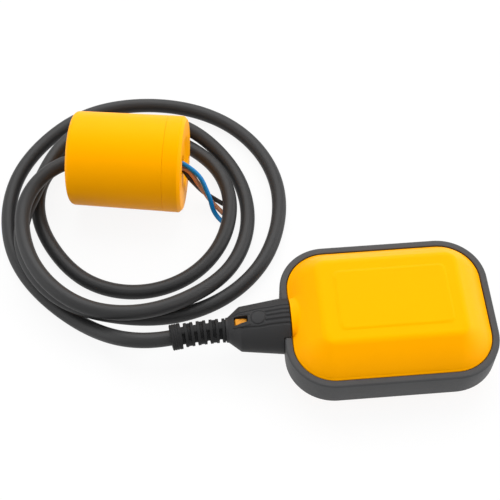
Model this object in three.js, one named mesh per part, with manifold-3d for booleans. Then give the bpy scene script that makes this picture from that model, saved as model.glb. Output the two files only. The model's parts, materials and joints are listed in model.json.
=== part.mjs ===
// Cable float switch: a sealed float with a ball-operated microswitch, three loose
// turns of cable and a counterweight. Millimetres, +Z up. The origin is the centre of
// the flat face that the float rests on; +X runs along the float, away from its cable.
import * as THREE from 'three';
import { mergeVertices } from 'three/addons/utils/BufferGeometryUtils.js';
import Module from 'manifold-3d';

const wasm = await Module();
wasm.setup();

// ---------------------------------------------------------------- driving dimensions
const gap = 0.3;              // clearance between pieces that seat on each other
const wall = 2.5;             // moulded wall of the float's shells

const bandLength = 107.6;     // rim band, outside
const bandWidth = 81;
const bandRadius = 24.3;      // plan radius of its corners
const bandBottom = 10.6;
const bandTop = 27;
const bandEdge = 0.8;         // rounding of its outer edges
const lipWidth = 3.6;         // lip that holds the shells
const lipHeight = 2.4;
const bandBack = 2;           // wall behind the shells' flanges

const floatTop = 41.5;        // flat top of the upper shell
const topLength = 71;         // that flat, and its corner radius
const topWidth = 46.6;
const topRadius = 4.8;
const restLength = 78;        // flat that the float rests on
const restWidth = 52;
const restRadius = 6;
const creaseDrop = 1.1;       // height and reach of the rounded crease round each flat
const creaseReach = 1.4;
const panelLength = 55;       // low bare panel on the top
const panelWidth = 32;
const panelRadius = 3;
const panelShift = 1.2;
const panelRise = 0.4;
const pocketLength = 10;      // raised boss on each shell, over the cable's way in
const pocketHalfWidth = 10.5;
const pocketRise = 6.5;

const cableDiameter = 8;
const boreClearance = 0.35;   // round the cable, in every bore it passes
const coreDiameter = 2.6;

const neckWidth = 29;         // oval sleeve where it meets the band
const neckHeight = 27;
const neckWaistWidth = 23.8;  // where its end taper begins
const neckWaistHeight = 19.8;
const neckWaistAt = 21.4;     // from the band
const neckLength = 28.6;
const neckEndDiameter = 12.6;
const neckEndLand = 1.2;      // short straight end
const tongueHalfWidth = 11;   // part of the neck that fills the lip
const ridgeCount = 4;         // finger ridges over the neck's crown
const ridgePitch = 2.6;
const ridgeWidth = 1.8;
const ridgeHeight = 0.45;
const ridgeLength = 8;        // of the shortest, from the band
const markRadius = 3.5;       // round pad between the ridges and the window
const markRise = 0.15;
const markAt = 12.2;          // its middle, from the band
const windowLength = 7.4;     // slot that shows the entry's latch
const windowWidth = 7.7;
const windowAt = 21.1;        // its middle, from the band
const latchRise = 1.1;        // latch above the entry's tube
const latchSlope = 0.08;      // its top falls towards the cable, in radians
const entryWall = 0.95;
const entryFlangeRadius = 6.2;
const entryFlange = 2.4;
const entrySealRadius = 8.2;

const reliefLength = 28;
const reliefDiameter = 12.4;
const reliefTubeDiameter = 9.9;
const reliefCollar = 5.5;
const reliefRings = 7;
const reliefRingWidth = 1.7;
const reliefBridgeWidth = 5.2; // joins two rings on alternate sides
const reliefBend = 0.15;      // the cable holds it bent by this angle, in radians

const boxStart = -30;         // switch box, outside
const boxHalfWidth = 17.5;
const boxBottom = 7;
const boxTop = 29.2;
const boxWall = 2;
const sealHeight = 0.7;
const lidHeight = 2;
const boxPostInset = [6, 7];  // posts under the box, from its ends
const boxPostY = 12;
const postRadius = 3;
const spigotRadius = 1.2;
const lugInset = 8;           // lugs for the lid's screws, from the box's ends
const lugHeight = 9;
const lugRadius = 3.2;
const screwRadius = 1.1;
const screwHeadRadius = 2.1;
const screwHead = 1.4;

const mechanismY = -9;        // plane of the ball, lever and microswitch
const ballRadius = 6;
const ballHeight = 16.5;      // its centre
const ballTravel = 20;
const trackSide = 0.2;        // track wider than the ball by this on each side
const trackEnd = 1.5;         // solid end past the ball's reach
const trackDrop = 3;          // its rim below the ball's centre
const pivotX = 27;            // lever's pin
const pivotRise = 2;          // pin above the ball's centre
const pivotToBall = 45;       // from the pin to the ball at rest
const pinRadius = 0.8;
const hubRadius = 1.9;        // lever's eye round the pin
const earThickness = 0.7;     // switch's ears that hold the pin
const leverLength = 50;
const leverWidth = 4.4;
const leverThickness = 1;
const switchStart = 8.5;      // microswitch body
const switchLength = 20;
const switchWidth = 6.4;
const switchBottom = 23.3;
const switchHeight = 6.3;
const switchSetback = [4, 5.5];  // its fixing screws, from its two ends
const switchScrewRise = 2.4;
const plungerFromPin = 9;
const plungerRadius = 1.2;
const plungerSeat = 3.8;      // depth of its hole in the switch
const terminalRise = [1, 3, 5];  // above the body's lower face
const terminalHalfWidth = 1.6;
const terminalThickness = 0.6;
const terminalSeat = 2;       // part of it inside the switch
const terminalLength = 8.2;
const terminalRoom = 9.5;     // from the switch to the box's outer end
const coreParting = 8;        // where the cores leave their line in the box, from its start
const coreCrossing = 24;      // where they reach the side of the box
const coreSettling = 34;      // where they run level there
const coreLift = 12;          // level run that ends before they rise to the terminals
const clampLength = 6;
const clampAt = -36;
const clampScrewY = 9;
const clampHalfWidth = 12;
const clampHeight = 7.5;

const weightRadius = 26.6;    // at the cap's face
const weightDraft = 0.7;      // narrower by this at the mouth
const weightLength = 62;
const weightX = -128.5;
const weightY = 106.1;
const weightTurn = -9.1;      // degrees, about Z
const weightWall = 2.5;
const weightFillet = 2.6;
const weightJoint = 21.2;     // cap joint, from the middle along the axis
const weightGroove = 0.6;
const weightEdge = 0.9;       // chamfer round the cap's face
const mouthRadius = 11.5;     // flared mouth
const throatFrom = -8;        // where the flare has become the bore
const recessRadius = 18.5;    // recess in the cap's face
const recessDepth = 5;
const colletRadius = 6.1;
const colletLength = 17;
const ballastBore = 10.5;
const ballastSetback = 9.5;   // from the pot's inner end wall
const stripFrom = 14;         // jacket's end, inside the cap's face
const copperDiameter = 1.6;
const copperLength = 4.5;

const seamHeight = (bandBottom + bandTop) / 2;
const cableRadius = cableDiameter / 2;
const boreRadius = cableRadius + boreClearance;
const neckStart = -bandLength / 2;
const boxEnd = switchStart + switchLength + terminalRoom;

// ---------------------------------------------------------------- solids
function clean(geometry) {
  const copy = geometry.clone();
  copy.deleteAttribute('normal');
  copy.deleteAttribute('uv');
  return mergeVertices(copy, 1e-5);
}

function toSolid(geometry) {
  const merged = clean(geometry);
  return new wasm.Manifold(new wasm.Mesh({
    numProp: 3,
    vertProperties: new Float32Array(merged.attributes.position.array),
    triVerts: new Uint32Array(merged.index.array),
  }));
}

function fromSolid(solid) {
  const mesh = solid.getMesh();
  const geometry = new THREE.BufferGeometry();
  geometry.setAttribute('position', new THREE.BufferAttribute(new Float32Array(mesh.vertProperties), 3));
  geometry.setIndex(Array.from(mesh.triVerts));
  return geometry;
}

function join(...geometries) {
  return fromSolid(geometries.map(toSolid).reduce((a, b) => a.add(b)));
}

function cut(geometry, ...tools) {
  return fromSolid(tools.map(toSolid).reduce((a, b) => a.subtract(b), toSolid(geometry)));
}

function common(geometry, tool) {
  return fromSolid(toSolid(geometry).intersect(toSolid(tool)));
}

// A box between two corners.
function block(x0, y0, z0, x1, y1, z1) {
  return new THREE.BoxGeometry(x1 - x0, y1 - y0, z1 - z0)
    .translate((x0 + x1) / 2, (y0 + y1) / 2, (z0 + z1) / 2);
}

// A cylinder along an axis ('x', 'y' or 'z') between two stations.
function rod(axis, radius, from, to, a, b, sides = 24) {
  const geometry = new THREE.CylinderGeometry(radius, radius, to - from, sides);
  const middle = (from + to) / 2;
  if (axis === 'x') return geometry.rotateZ(-Math.PI / 2).translate(middle, a, b);
  if (axis === 'y') return geometry.translate(a, middle, b);
  return geometry.rotateX(Math.PI / 2).translate(a, b, middle);
}

// A profile of [station, radius] turned about the X axis, its outside run towards +X.
function turned(profile, sides = 24) {
  const points = profile.map(([station, radius]) => new THREE.Vector2(radius, -station)).reverse();
  return new THREE.LatheGeometry(points, sides)
    .rotateY(Math.PI / sides)
    .rotateZ(Math.PI / 2);
}

// A rounded rectangle in plan at height z, counterclockwise.
function plan(halfLength, halfWidth, radius, z, perCorner = 6) {
  const ring = [];
  for (let corner = 0; corner < 4; corner++) {
    const cx = (halfLength - radius) * (corner === 0 || corner === 3 ? 1 : -1);
    const cy = (halfWidth - radius) * (corner < 2 ? 1 : -1);
    for (let step = 0; step <= perCorner; step++) {
      const angle = (corner + step / perCorner) * Math.PI / 2;
      ring.push(new THREE.Vector3(cx + radius * Math.cos(angle), cy + radius * Math.sin(angle), z));
    }
  }
  return ring;
}

// The band's plan, drawn in by an inset.
function inset(depth, z) {
  return plan(bandLength / 2 - depth, bandWidth / 2 - depth, bandRadius - depth, z);
}

// Rings of equal counts joined into a closed skin: capped at both ends, or closed on itself.
function loft(rings, closed = false) {
  const count = rings[0].length;
  const positions = rings.flat().flatMap((p) => [p.x, p.y, p.z]);
  const index = [];
  const spans = closed ? rings.length : rings.length - 1;
  for (let i = 0; i < spans; i++) {
    const next = (i + 1) % rings.length;
    for (let j = 0; j < count; j++) {
      const k = (j + 1) % count;
      index.push(i * count + j, i * count + k, next * count + k);
      index.push(i * count + j, next * count + k, next * count + j);
    }
  }
  if (!closed) {
    const last = (rings.length - 1) * count;
    for (let j = 1; j < count - 1; j++) {
      index.push(0, j + 1, j);
      index.push(last, last + j, last + j + 1);
    }
  }
  const geometry = new THREE.BufferGeometry();
  geometry.setAttribute('position', new THREE.BufferAttribute(new Float32Array(positions), 3));
  geometry.setIndex(index);
  return geometry;
}

// ---------------------------------------------------------------- routes
// A uniform cubic B-spline that starts at its first point and ends at its last.
class Route extends THREE.Curve {
  constructor(points) {
    super();
    const first = points[0].clone().multiplyScalar(2).sub(points[1]);
    const last = points.at(-1).clone().multiplyScalar(2).sub(points.at(-2));
    this.points = [first, ...points, last];
    this.arcLengthDivisions = 1200;
  }

  getPoint(t, target = new THREE.Vector3()) {
    const spans = this.points.length - 3;
    const i = Math.min(Math.floor(t * spans), spans - 1);
    const f = t * spans - i;
    const weights = [(1 - f) ** 3, 3 * f ** 3 - 6 * f ** 2 + 4, -3 * f ** 3 + 3 * f ** 2 + 3 * f + 1, f ** 3];
    target.set(0, 0, 0);
    weights.forEach((w, k) => target.addScaledVector(this.points[i + k], w / 6));
    return target;
  }
}

function tube(route, diameter, steps, sides = 8) {
  const section = new THREE.Shape();
  for (let i = 0; i < sides; i++) {
    const angle = (i + 0.5) * 2 * Math.PI / sides;
    const x = diameter / 2 * Math.cos(angle);
    const y = diameter / 2 * Math.sin(angle);
    if (i === 0) section.moveTo(x, y);
    else section.lineTo(x, y);
  }
  section.closePath();
  return new THREE.ExtrudeGeometry(section, { steps, extrudePath: route, bevelEnabled: false });
}

// Least distance between two stretches of a tube that lie more than `apart` along it.
function leastSelfGap(route, diameter, apart) {
  const points = route.getSpacedPoints(500);
  const pitch = route.getLength() / 500;
  let least = Infinity;
  for (let i = 0; i < points.length; i++) {
    for (let j = i + Math.ceil(apart / pitch); j < points.length; j++) {
      least = Math.min(least, points[i].distanceTo(points[j]));
    }
  }
  return least - diameter;
}

// ---------------------------------------------------------------- materials
function finish(color, roughness, metalness = 0) {
  return new THREE.MeshStandardMaterial({ color, roughness, metalness });
}
const yellowPlastic = finish(0xf9b208, 0.38);
const darkRubber = finish(0x3d3e40, 0.6);
const blackPlastic = finish(0x242425, 0.45);
const cableJacket = finish(0x3a3b3c, 0.55);
const whitePlastic = finish(0xd8d8d2, 0.5);
const steel = finish(0xb4b6b8, 0.3, 1);
const ballastIron = finish(0x6a6a68, 0.6, 1);
const brass = finish(0xc9a14c, 0.35, 1);
const copper = finish(0xb87333, 0.35, 1);
const coreFinish = {
  blue: finish(0x2a78b8, 0.45),
  brown: finish(0x8a5a3c, 0.45),
  black: finish(0x2b2b2b, 0.45),
};

const assembly = new THREE.Group();
assembly.name = 'cable_float_switch';

function add(name, geometry, material, parent = assembly) {
  const mesh = new THREE.Mesh(clean(geometry), material);
  mesh.name = name;
  parent.add(mesh);
  return mesh;
}

// ---------------------------------------------------------------- float: shells and band
const shellInset = lipWidth + gap;              // dome inside the lip
const flangeInset = bandBack + gap;             // flange inside the band
const cavityInset = shellInset + wall;
const entryHole = boreRadius + entryWall + gap; // through band, shells and neck

function entryBore(from, to, radius = entryHole) {
  return rod('x', radius, from, to, 0, seamHeight);
}

function entryBoss(direction) {
  const boss = new THREE.SphereGeometry(1, 24, 14)
    .scale(pocketLength, pocketHalfWidth, pocketRise)
    .translate(neckStart + shellInset, 0, direction > 0 ? bandTop : bandBottom);
  const outside = neckStart + shellInset;
  return common(boss, direction > 0
    ? block(outside, -pocketHalfWidth, bandTop, 0, pocketHalfWidth, floatTop)
    : block(outside, -pocketHalfWidth, 0, 0, pocketHalfWidth, bandBottom));
}

// Rings of the soft crease from a shell's slope to its flat at height z; the drop's sign points down it.
function crease(length, width, radius, z, drop) {
  return [1, 0.4, 0].map((share) => {
    const out = creaseReach * share;
    return plan(length / 2 + out, width / 2 + out, radius + 0.85 * out, z + drop * share ** 1.5);
  });
}

function upperShell() {
  const flangeTop = bandTop - lipHeight - gap;
  const seam = seamHeight + gap / 2;
  const skin = loft([
    inset(flangeInset, seam),
    inset(flangeInset, flangeTop),
    inset(shellInset, flangeTop),
    inset(shellInset, bandTop),
    ...crease(topLength, topWidth, topRadius, floatTop, -creaseDrop),
  ]);
  const cavity = loft([
    inset(cavityInset, seam - 1),
    inset(cavityInset, bandTop - wall / 2),
    plan(topLength / 2 - wall, topWidth / 2 - wall, topRadius, floatTop - wall),
  ]);
  const edge = panelRise / 2;
  const panel = loft([
    plan(panelLength / 2, panelWidth / 2, panelRadius, floatTop - wall / 2),
    plan(panelLength / 2, panelWidth / 2, panelRadius, floatTop + panelRise - edge),
    plan(panelLength / 2 - edge, panelWidth / 2 - edge, panelRadius - edge, floatTop + panelRise),
  ]).translate(panelShift, 0, 0);
  return cut(join(skin, entryBoss(1), panel), cavity, entryBore(neckStart, neckStart + 2 * cavityInset));
}

const boxPosts = [boxStart + boxPostInset[0], boxEnd - boxPostInset[1]]
  .flatMap((x) => [[x, boxPostY], [x, -boxPostY]]);
const clampScrews = [-clampScrewY, clampScrewY];
const clampBase = seamHeight - 1.8 - gap;

function lowerShell() {
  const flangeBottom = bandBottom + lipHeight + gap;
  const seam = seamHeight - gap / 2;
  const skin = loft([
    ...crease(restLength, restWidth, restRadius, 0, creaseDrop).reverse(),
    inset(shellInset, bandBottom),
    inset(shellInset, flangeBottom),
    inset(flangeInset, flangeBottom),
    inset(flangeInset, seam),
  ]);
  const cavity = loft([
    plan(restLength / 2 - wall, restWidth / 2 - wall, restRadius, wall),
    inset(cavityInset, bandBottom + wall / 2),
    inset(cavityInset, seam + 1),
  ]);
  const shell = cut(join(skin, entryBoss(-1)), cavity);
  const posts = boxPosts.flatMap(([x, y]) => [
    rod('z', postRadius, wall - 0.5, boxBottom - gap, x, y),
    rod('z', spigotRadius, wall, boxBottom + boxWall - gap, x, y, 12),
  ]);
  const saddle = block(clampAt - clampLength / 2, -clampHalfWidth, wall - 0.5,
    clampAt + clampLength / 2, clampHalfWidth, clampBase);
  const pilots = clampScrews.map((y) =>
    rod('z', screwRadius + gap, clampBase - 8, clampBase + 1, clampAt, y, 12));
  const groove = rod('x', boreRadius, clampAt - 5, clampAt + 5, 0, seamHeight);
  return cut(join(shell, ...posts, saddle), groove, ...pilots,
    entryBore(neckStart, neckStart + 2 * cavityInset));
}

function rimBand() {
  const ring = loft([
    inset(bandEdge, bandBottom),
    inset(bandEdge / 4, bandBottom + bandEdge / 3),
    inset(0, bandBottom + bandEdge),
    inset(0, bandTop - bandEdge),
    inset(bandEdge / 4, bandTop - bandEdge / 3),
    inset(bandEdge, bandTop),
    inset(lipWidth - 0.4, bandTop),
    inset(lipWidth, bandTop - 0.4),
    inset(lipWidth, bandTop - lipHeight),
    inset(bandBack, bandTop - lipHeight),
    inset(bandBack, bandBottom + lipHeight),
    inset(lipWidth, bandBottom + lipHeight),
    inset(lipWidth, bandBottom + 0.4),
    inset(lipWidth - 0.4, bandBottom),
  ], true);
  const half = tongueHalfWidth + gap;
  const from = neckStart - 1;
  const to = neckStart + lipWidth + 1;
  const upperNotch = block(from, -half, bandTop - lipHeight, to, half, bandTop + 1);
  const lowerNotch = block(from, -half, bandBottom - 1, to, half, bandBottom + lipHeight);
  return cut(ring, upperNotch, lowerNotch, entryBore(from, to));
}

add('upper_shell', upperShell(), yellowPlastic);
add('lower_shell', lowerShell(), yellowPlastic);
add('rim_band', rimBand(), darkRubber);

// ---------------------------------------------------------------- neck, entry and strain relief
// A section across the neck: an oval standing in a plane of constant X.
function neckSection(x, width, height, sides = 28) {
  return Array.from({ length: sides }, (unused, i) => {
    const angle = (i + 0.5) * 2 * Math.PI / sides;
    return new THREE.Vector3(x, width / 2 * Math.cos(angle), seamHeight + height / 2 * Math.sin(angle));
  });
}

const neckFrom = neckStart - gap;
const neckEnd = neckFrom - neckLength;
const neckWaist = neckFrom - neckWaistAt;
const tongueEnd = neckStart + lipWidth - 0.2;
const windowMiddle = neckFrom - windowAt;

// Height of the neck's crown above a point in plan, from its waist to the shell's boss.
function neckCrown(x, y) {
  const share = THREE.MathUtils.clamp((neckFrom - x) / neckWaistAt, 0, 1);
  const halfWidth = THREE.MathUtils.lerp(neckWidth, neckWaistWidth, share) / 2;
  const halfHeight = THREE.MathUtils.lerp(neckHeight, neckWaistHeight, share) / 2;
  return seamHeight + halfHeight * Math.sqrt(1 - (y / halfWidth) ** 2);
}

// Ridges run from the boss to the pad, the outer ones further, and fan in with the neck's sides.
function neckRidges() {
  return Array.from({ length: ridgeCount }, (unused, i) => {
    const place = i - (ridgeCount - 1) / 2;
    const end = neckFrom - ridgeLength - Math.abs(place) * ridgeWidth / 2;
    const stations = [end, end + ridgeWidth / 2, neckFrom, tongueEnd];
    return loft(stations.map((x, k) => {
      const fan = neckWidth / 2 - (neckWidth - neckWaistWidth) / 2 * Math.max(0, neckFrom - x) / neckWaistAt;
      const middle = place * ridgePitch * fan / (neckWidth / 2);
      const rise = k === 0 ? 0 : ridgeHeight;
      return [[-0.5, -0.5], [0.5, -0.5], [0.3, rise], [-0.3, rise]].map(([across, up]) => {
        const y = middle + across * ridgeWidth;
        return new THREE.Vector3(x, y, neckCrown(x, y) + up);
      });
    }));
  });
}

function neckSleeve() {
  const body = loft([
    neckSection(neckEnd, neckEndDiameter, neckEndDiameter),
    neckSection(neckEnd + neckEndLand, neckEndDiameter + 0.4, neckEndDiameter + 0.4),
    neckSection(neckWaist, neckWaistWidth, neckWaistHeight),
    neckSection(neckFrom, neckWidth, neckHeight),
    neckSection(tongueEnd, neckWidth, neckHeight),
  ]);
  const pad = rod('z', markRadius, seamHeight + boreRadius, neckCrown(neckFrom - markAt, 0) + markRise,
    neckFrom - markAt, 0);
  const bandRoom = block(neckFrom, -neckWidth, bandBottom - gap,
    neckStart + lipWidth, neckWidth, bandTop + gap);
  const tongues = [bandTop - lipHeight + gap, bandBottom - 2 * gap].map((bottom) =>
    block(neckFrom - 1, -tongueHalfWidth, bottom, tongueEnd, tongueHalfWidth, bottom + lipHeight + gap));
  const slot = block(windowMiddle - windowLength / 2, -windowWidth / 2, seamHeight,
    windowMiddle + windowLength / 2, windowWidth / 2, seamHeight + neckHeight);
  const sleeve = join(cut(join(body, pad, ...neckRidges()), bandRoom), ...tongues);
  return cut(sleeve, entryBore(neckEnd - 1, neckFrom + 1), slot);
}

// Yellow tube that the cable passes: its flange sits inside the shells, its latch in the slot.
const cavityStart = neckStart + cavityInset;
function cableEntry() {
  const outer = boreRadius + entryWall;
  const body = turned([
    [neckEnd + 1.6, boreRadius],
    [neckEnd + 1.6, outer],
    [cavityStart + gap, outer],
    [cavityStart + gap, entryFlangeRadius],
    [cavityStart + gap + entryFlange, entryFlangeRadius],
    [cavityStart + gap + entryFlange, boreRadius],
    [neckEnd + 1.6, boreRadius],
  ]).translate(0, 0, seamHeight);
  const halfLength = windowLength / 2 - gap;
  const halfWidth = windowWidth / 2 - gap;
  const top = seamHeight + outer + latchRise;
  const latch = block(windowMiddle - halfLength, -halfWidth, seamHeight + boreRadius + entryWall / 2,
    windowMiddle + halfLength, halfWidth, top + halfLength * latchSlope);
  const ramp = block(-windowLength, -windowWidth, 0, windowLength, windowWidth, 4)
    .rotateY(-latchSlope)
    .translate(windowMiddle, 0, top);
  return join(body, cut(cut(latch, ramp), rod('x', boreRadius, neckEnd, neckFrom, 0, seamHeight)));
}

const reliefFrom = neckEnd - gap;
const reliefRadius = reliefDiameter / 2;
const reliefCurve = reliefBend / reliefLength;

// The relief and the cable in it bend evenly towards -Y: a point `along` the relief and `across` it.
function onRelief(along, across = 0, z = seamHeight) {
  const angle = reliefCurve * Math.max(0, along);
  return new THREE.Vector3(
    reliefFrom - Math.min(0, along) - (Math.sin(angle) / reliefCurve + across * Math.sin(angle)),
    -(1 - Math.cos(angle)) / reliefCurve + across * Math.cos(angle),
    z,
  );
}

function bent(geometry) {
  const points = geometry.attributes.position;
  for (let i = 0; i < points.count; i++) {
    const place = onRelief(reliefFrom - points.getX(i), points.getY(i), points.getZ(i));
    points.setXYZ(i, place.x, place.y, place.z);
  }
  return geometry;
}

// A rod about the cable's line, in short steps so that it can bend; from and to are along the relief.
function reliefRod(radius, from, to, sides = 16, step = 7) {
  const steps = Math.ceil((to - from) / step);
  return bent(new THREE.CylinderGeometry(radius, radius, to - from, sides, steps)
    .rotateZ(-Math.PI / 2)
    .translate(reliefFrom - (from + to) / 2, 0, seamHeight));
}

function strainRelief() {
  const pitch = (reliefLength - reliefCollar) / reliefRings;
  const tubeRadius = reliefTubeDiameter / 2;
  const pieces = [
    reliefRod(tubeRadius, 0, reliefLength - 0.5),
    reliefRod(reliefRadius + 0.2, reliefLength - reliefCollar, reliefLength),
  ];
  for (let i = 0; i < reliefRings; i++) {
    const ring = i * pitch;
    pieces.push(reliefRod(reliefRadius, ring, ring + reliefRingWidth));
    if (i === reliefRings - 1) continue;
    const half = reliefBridgeWidth / 2;
    const [low, high] = i % 2 === 0
      ? [0.3 - reliefRadius, 1 - tubeRadius]
      : [tubeRadius - 1, reliefRadius - 0.9];
    pieces.push(bent(block(reliefFrom - ring - pitch - 0.1, -half, seamHeight + low,
      reliefFrom - ring - reliefRingWidth + 0.1, half, seamHeight + high)));
  }
  return cut(join(...pieces), reliefRod(boreRadius, -1, reliefLength + 1));
}

add('neck_sleeve', neckSleeve(), darkRubber);
add('cable_entry', cableEntry(), yellowPlastic);
add('strain_relief', strainRelief(), darkRubber);

const sealFrom = cavityStart + 2 * gap + entryFlange;
const sealTo = clampAt - clampLength / 2 - gap;
add('entry_seal', cut(rod('x', entrySealRadius, sealFrom, sealTo, 0, seamHeight),
  rod('x', boreRadius, sealFrom - 1, sealTo + 1, 0, seamHeight)), darkRubber);

// Jacket from inside the float to just inside the relief's mouth.
const jacketInnerEnd = clampAt + clampLength / 2 + 0.6;
const jacketMouth = reliefLength - 4;
add('cable_inner', join(
  rod('x', cableRadius, reliefFrom, jacketInnerEnd, 0, seamHeight, 16),
  reliefRod(cableRadius, -1, jacketMouth),
), cableJacket);

// ---------------------------------------------------------------- cord clamp
// A screw with its shank pointing down, the head's seat at height z.
function screwDown(x, y, z, shank) {
  return join(rod('z', screwRadius, z - shank, z + 0.2, x, y, 12),
    rod('z', screwHeadRadius, z, z + screwHead, x, y, 16));
}

const clampBottom = clampBase + gap;
const clampTop = clampBottom + clampHeight;
add('cord_clamp', cut(
  block(clampAt - clampLength / 2, -clampHalfWidth, clampBottom,
    clampAt + clampLength / 2, clampHalfWidth, clampTop),
  rod('x', boreRadius, clampAt - 5, clampAt + 5, 0, seamHeight),
  ...clampScrews.map((y) => rod('z', screwRadius + gap, clampBottom - 1, clampTop + 1, clampAt, y, 12)),
), whitePlastic);
clampScrews.forEach((y, i) => {
  add(`clamp_screw_${i + 1}`, screwDown(clampAt, y, clampTop + gap, clampHeight + 6), steel);
});

// ---------------------------------------------------------------- switch box
const lugs = [boxStart + lugInset, boxEnd - lugInset]
  .flatMap((x) => [1, -1].map((side) => [x, side * (boxHalfWidth + lugRadius - 1)]));
const boxMiddle = (boxStart + boxEnd) / 2;
const boxHalfLength = (boxEnd - boxStart) / 2;
const rib = { inset: 1.5, thickness: 2 };
const ribY = mechanismY - switchWidth / 2 - gap - rib.thickness;
const switchEnd = switchStart + switchLength;
const switchScrews = [switchStart + switchSetback[0], switchEnd - switchSetback[1]];
const switchScrewZ = switchBottom + switchScrewRise;

function boxRing(depth, z) {
  return plan(boxHalfLength - depth, boxHalfWidth - depth, 3 - depth / 2, z, 4);
}

function switchBox() {
  const tray = loft([
    boxRing(0, boxBottom),
    boxRing(0, boxTop),
    boxRing(boxWall, boxTop),
    boxRing(boxWall, boxBottom + boxWall),
  ]).translate(boxMiddle, 0, 0);
  const ears = lugs.map(([x, y]) => rod('z', lugRadius, boxTop - lugHeight, boxTop, x, y, 16));
  const partition = block(switchStart + rib.inset, ribY, boxBottom + boxWall - 0.5,
    switchEnd - rib.inset, ribY + rib.thickness, boxTop - 1);
  const holes = [
    ...lugs.map(([x, y]) => rod('z', screwRadius + gap, boxTop - lugHeight + 1, boxTop + 1, x, y, 12)),
    ...boxPosts.map(([x, y]) =>
      rod('z', spigotRadius + gap, boxBottom - 1, boxBottom + boxWall + 0.6, x, y, 12)),
    ...switchScrews.map((x) =>
      rod('y', screwRadius + gap, ribY - 1, ribY + rib.thickness + 1, x, switchScrewZ, 12)),
    rod('x', grommet.neck + gap, boxStart - 1, boxStart + boxWall + 1, 0, seamHeight),
  ];
  return cut(join(tray, ...ears, partition), ...holes);
}

const grommet = { neck: 3.9, flange: 5, bore: 3.4, lip: 1.5 };
const sealBottom = boxTop + gap;
const lidBottom = sealBottom + sealHeight + gap;
const lidTop = lidBottom + lidHeight;
add('switch_box', switchBox(), whitePlastic);
add('box_seal', loft([
  boxRing(0.3, sealBottom),
  boxRing(0.3, sealBottom + sealHeight),
  boxRing(boxWall - 0.3, sealBottom + sealHeight),
  boxRing(boxWall - 0.3, sealBottom),
], true).translate(boxMiddle, 0, 0), darkRubber);
add('switch_box_lid', cut(
  join(loft([boxRing(0, lidBottom), boxRing(0, lidTop)]).translate(boxMiddle, 0, 0),
    ...lugs.map(([x, y]) => rod('z', lugRadius, lidBottom, lidTop, x, y, 16))),
  ...lugs.map(([x, y]) => rod('z', screwRadius + gap, lidBottom - 1, lidTop + 1, x, y, 12)),
), whitePlastic);
lugs.forEach(([x, y], i) => {
  add(`lid_screw_${i + 1}`, screwDown(x, y, lidTop + gap, lidTop + gap - boxTop + 6), steel);
});
add('core_grommet', turned([
  [boxStart - gap - grommet.lip, grommet.bore],
  [boxStart - gap - grommet.lip, grommet.flange],
  [boxStart - gap, grommet.flange],
  [boxStart - gap, grommet.neck],
  [boxStart + boxWall + gap, grommet.neck],
  [boxStart + boxWall + gap, grommet.flange],
  [boxStart + boxWall + gap + grommet.lip, grommet.flange],
  [boxStart + boxWall + gap + grommet.lip, grommet.bore],
  [boxStart - gap - grommet.lip, grommet.bore],
]).translate(0, 0, seamHeight), darkRubber);

// ---------------------------------------------------------------- ball and its track
const ballX = pivotX - pivotToBall;
function ballTrack() {
  const half = ballRadius + trackSide;
  const from = ballX - ballRadius - gap;
  const to = ballX + ballTravel + ballRadius + gap;
  const bed = block(from - trackEnd, mechanismY - half, boxBottom + boxWall + gap,
    to + trackEnd, mechanismY + half, ballHeight - trackDrop);
  return cut(bed, rod('x', ballRadius + gap, from, to, mechanismY, ballHeight, 32));
}
add('ball_track', ballTrack(), whitePlastic);
add('steel_ball', new THREE.SphereGeometry(ballRadius, 20, 12)
  .translate(ballX, mechanismY, ballHeight), steel);

// ---------------------------------------------------------------- lever, pin and microswitch
const pivotZ = ballHeight + pivotRise;

// Angle at which the lever's underside just clears the ball at a distance from the pin.
function leverAngle(distance) {
  const reach = ballRadius + gap + leverThickness / 2;
  return Math.asin(reach / Math.hypot(distance, pivotRise)) - Math.atan2(pivotRise, distance);
}

function actuatorLever() {
  const half = leverWidth / 2;
  const strip = block(-leverLength, -half, -leverThickness / 2, 0, half, leverThickness / 2);
  const hub = rod('y', hubRadius, -half, half, 0, 0, 16);
  const hole = rod('y', pinRadius + gap, -half - 1, half + 1, 0, 0, 12);
  return cut(join(strip, hub), hole)
    .rotateY(leverAngle(pivotToBall))
    .translate(pivotX, mechanismY, pivotZ);
}

function microswitchBody() {
  const half = switchWidth / 2;
  const top = switchBottom + switchHeight;
  const body = block(switchStart, mechanismY - half, switchBottom, switchEnd, mechanismY + half, top);
  const ears = [-1, 1].map((side) => {
    const inner = mechanismY + side * (half - earThickness);
    const outer = mechanismY + side * half;
    return block(pivotX - hubRadius, Math.min(inner, outer), pivotZ - hubRadius,
      pivotX + hubRadius, Math.max(inner, outer), switchBottom + 0.5);
  });
  const slotHalfWidth = terminalHalfWidth + gap;
  const slotHalfHeight = terminalThickness / 2 + gap;
  const slots = terminalRise.map((rise) => block(
    switchEnd - terminalSeat, mechanismY - slotHalfWidth, switchBottom + rise - slotHalfHeight,
    switchEnd + 1, mechanismY + slotHalfWidth, switchBottom + rise + slotHalfHeight,
  ));
  return cut(join(body, ...ears),
    rod('z', plungerRadius + gap, switchBottom - 1, switchBottom + plungerSeat,
      pivotX - plungerFromPin, mechanismY, 16),
    rod('y', pinRadius + gap, mechanismY - half - 1, mechanismY + half + 1, pivotX, pivotZ, 12),
    ...switchScrews.map((x) => rod('y', screwRadius + gap, mechanismY - half - 1, mechanismY + half + 1,
      x, switchScrewZ, 12)),
    ...slots);
}

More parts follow.
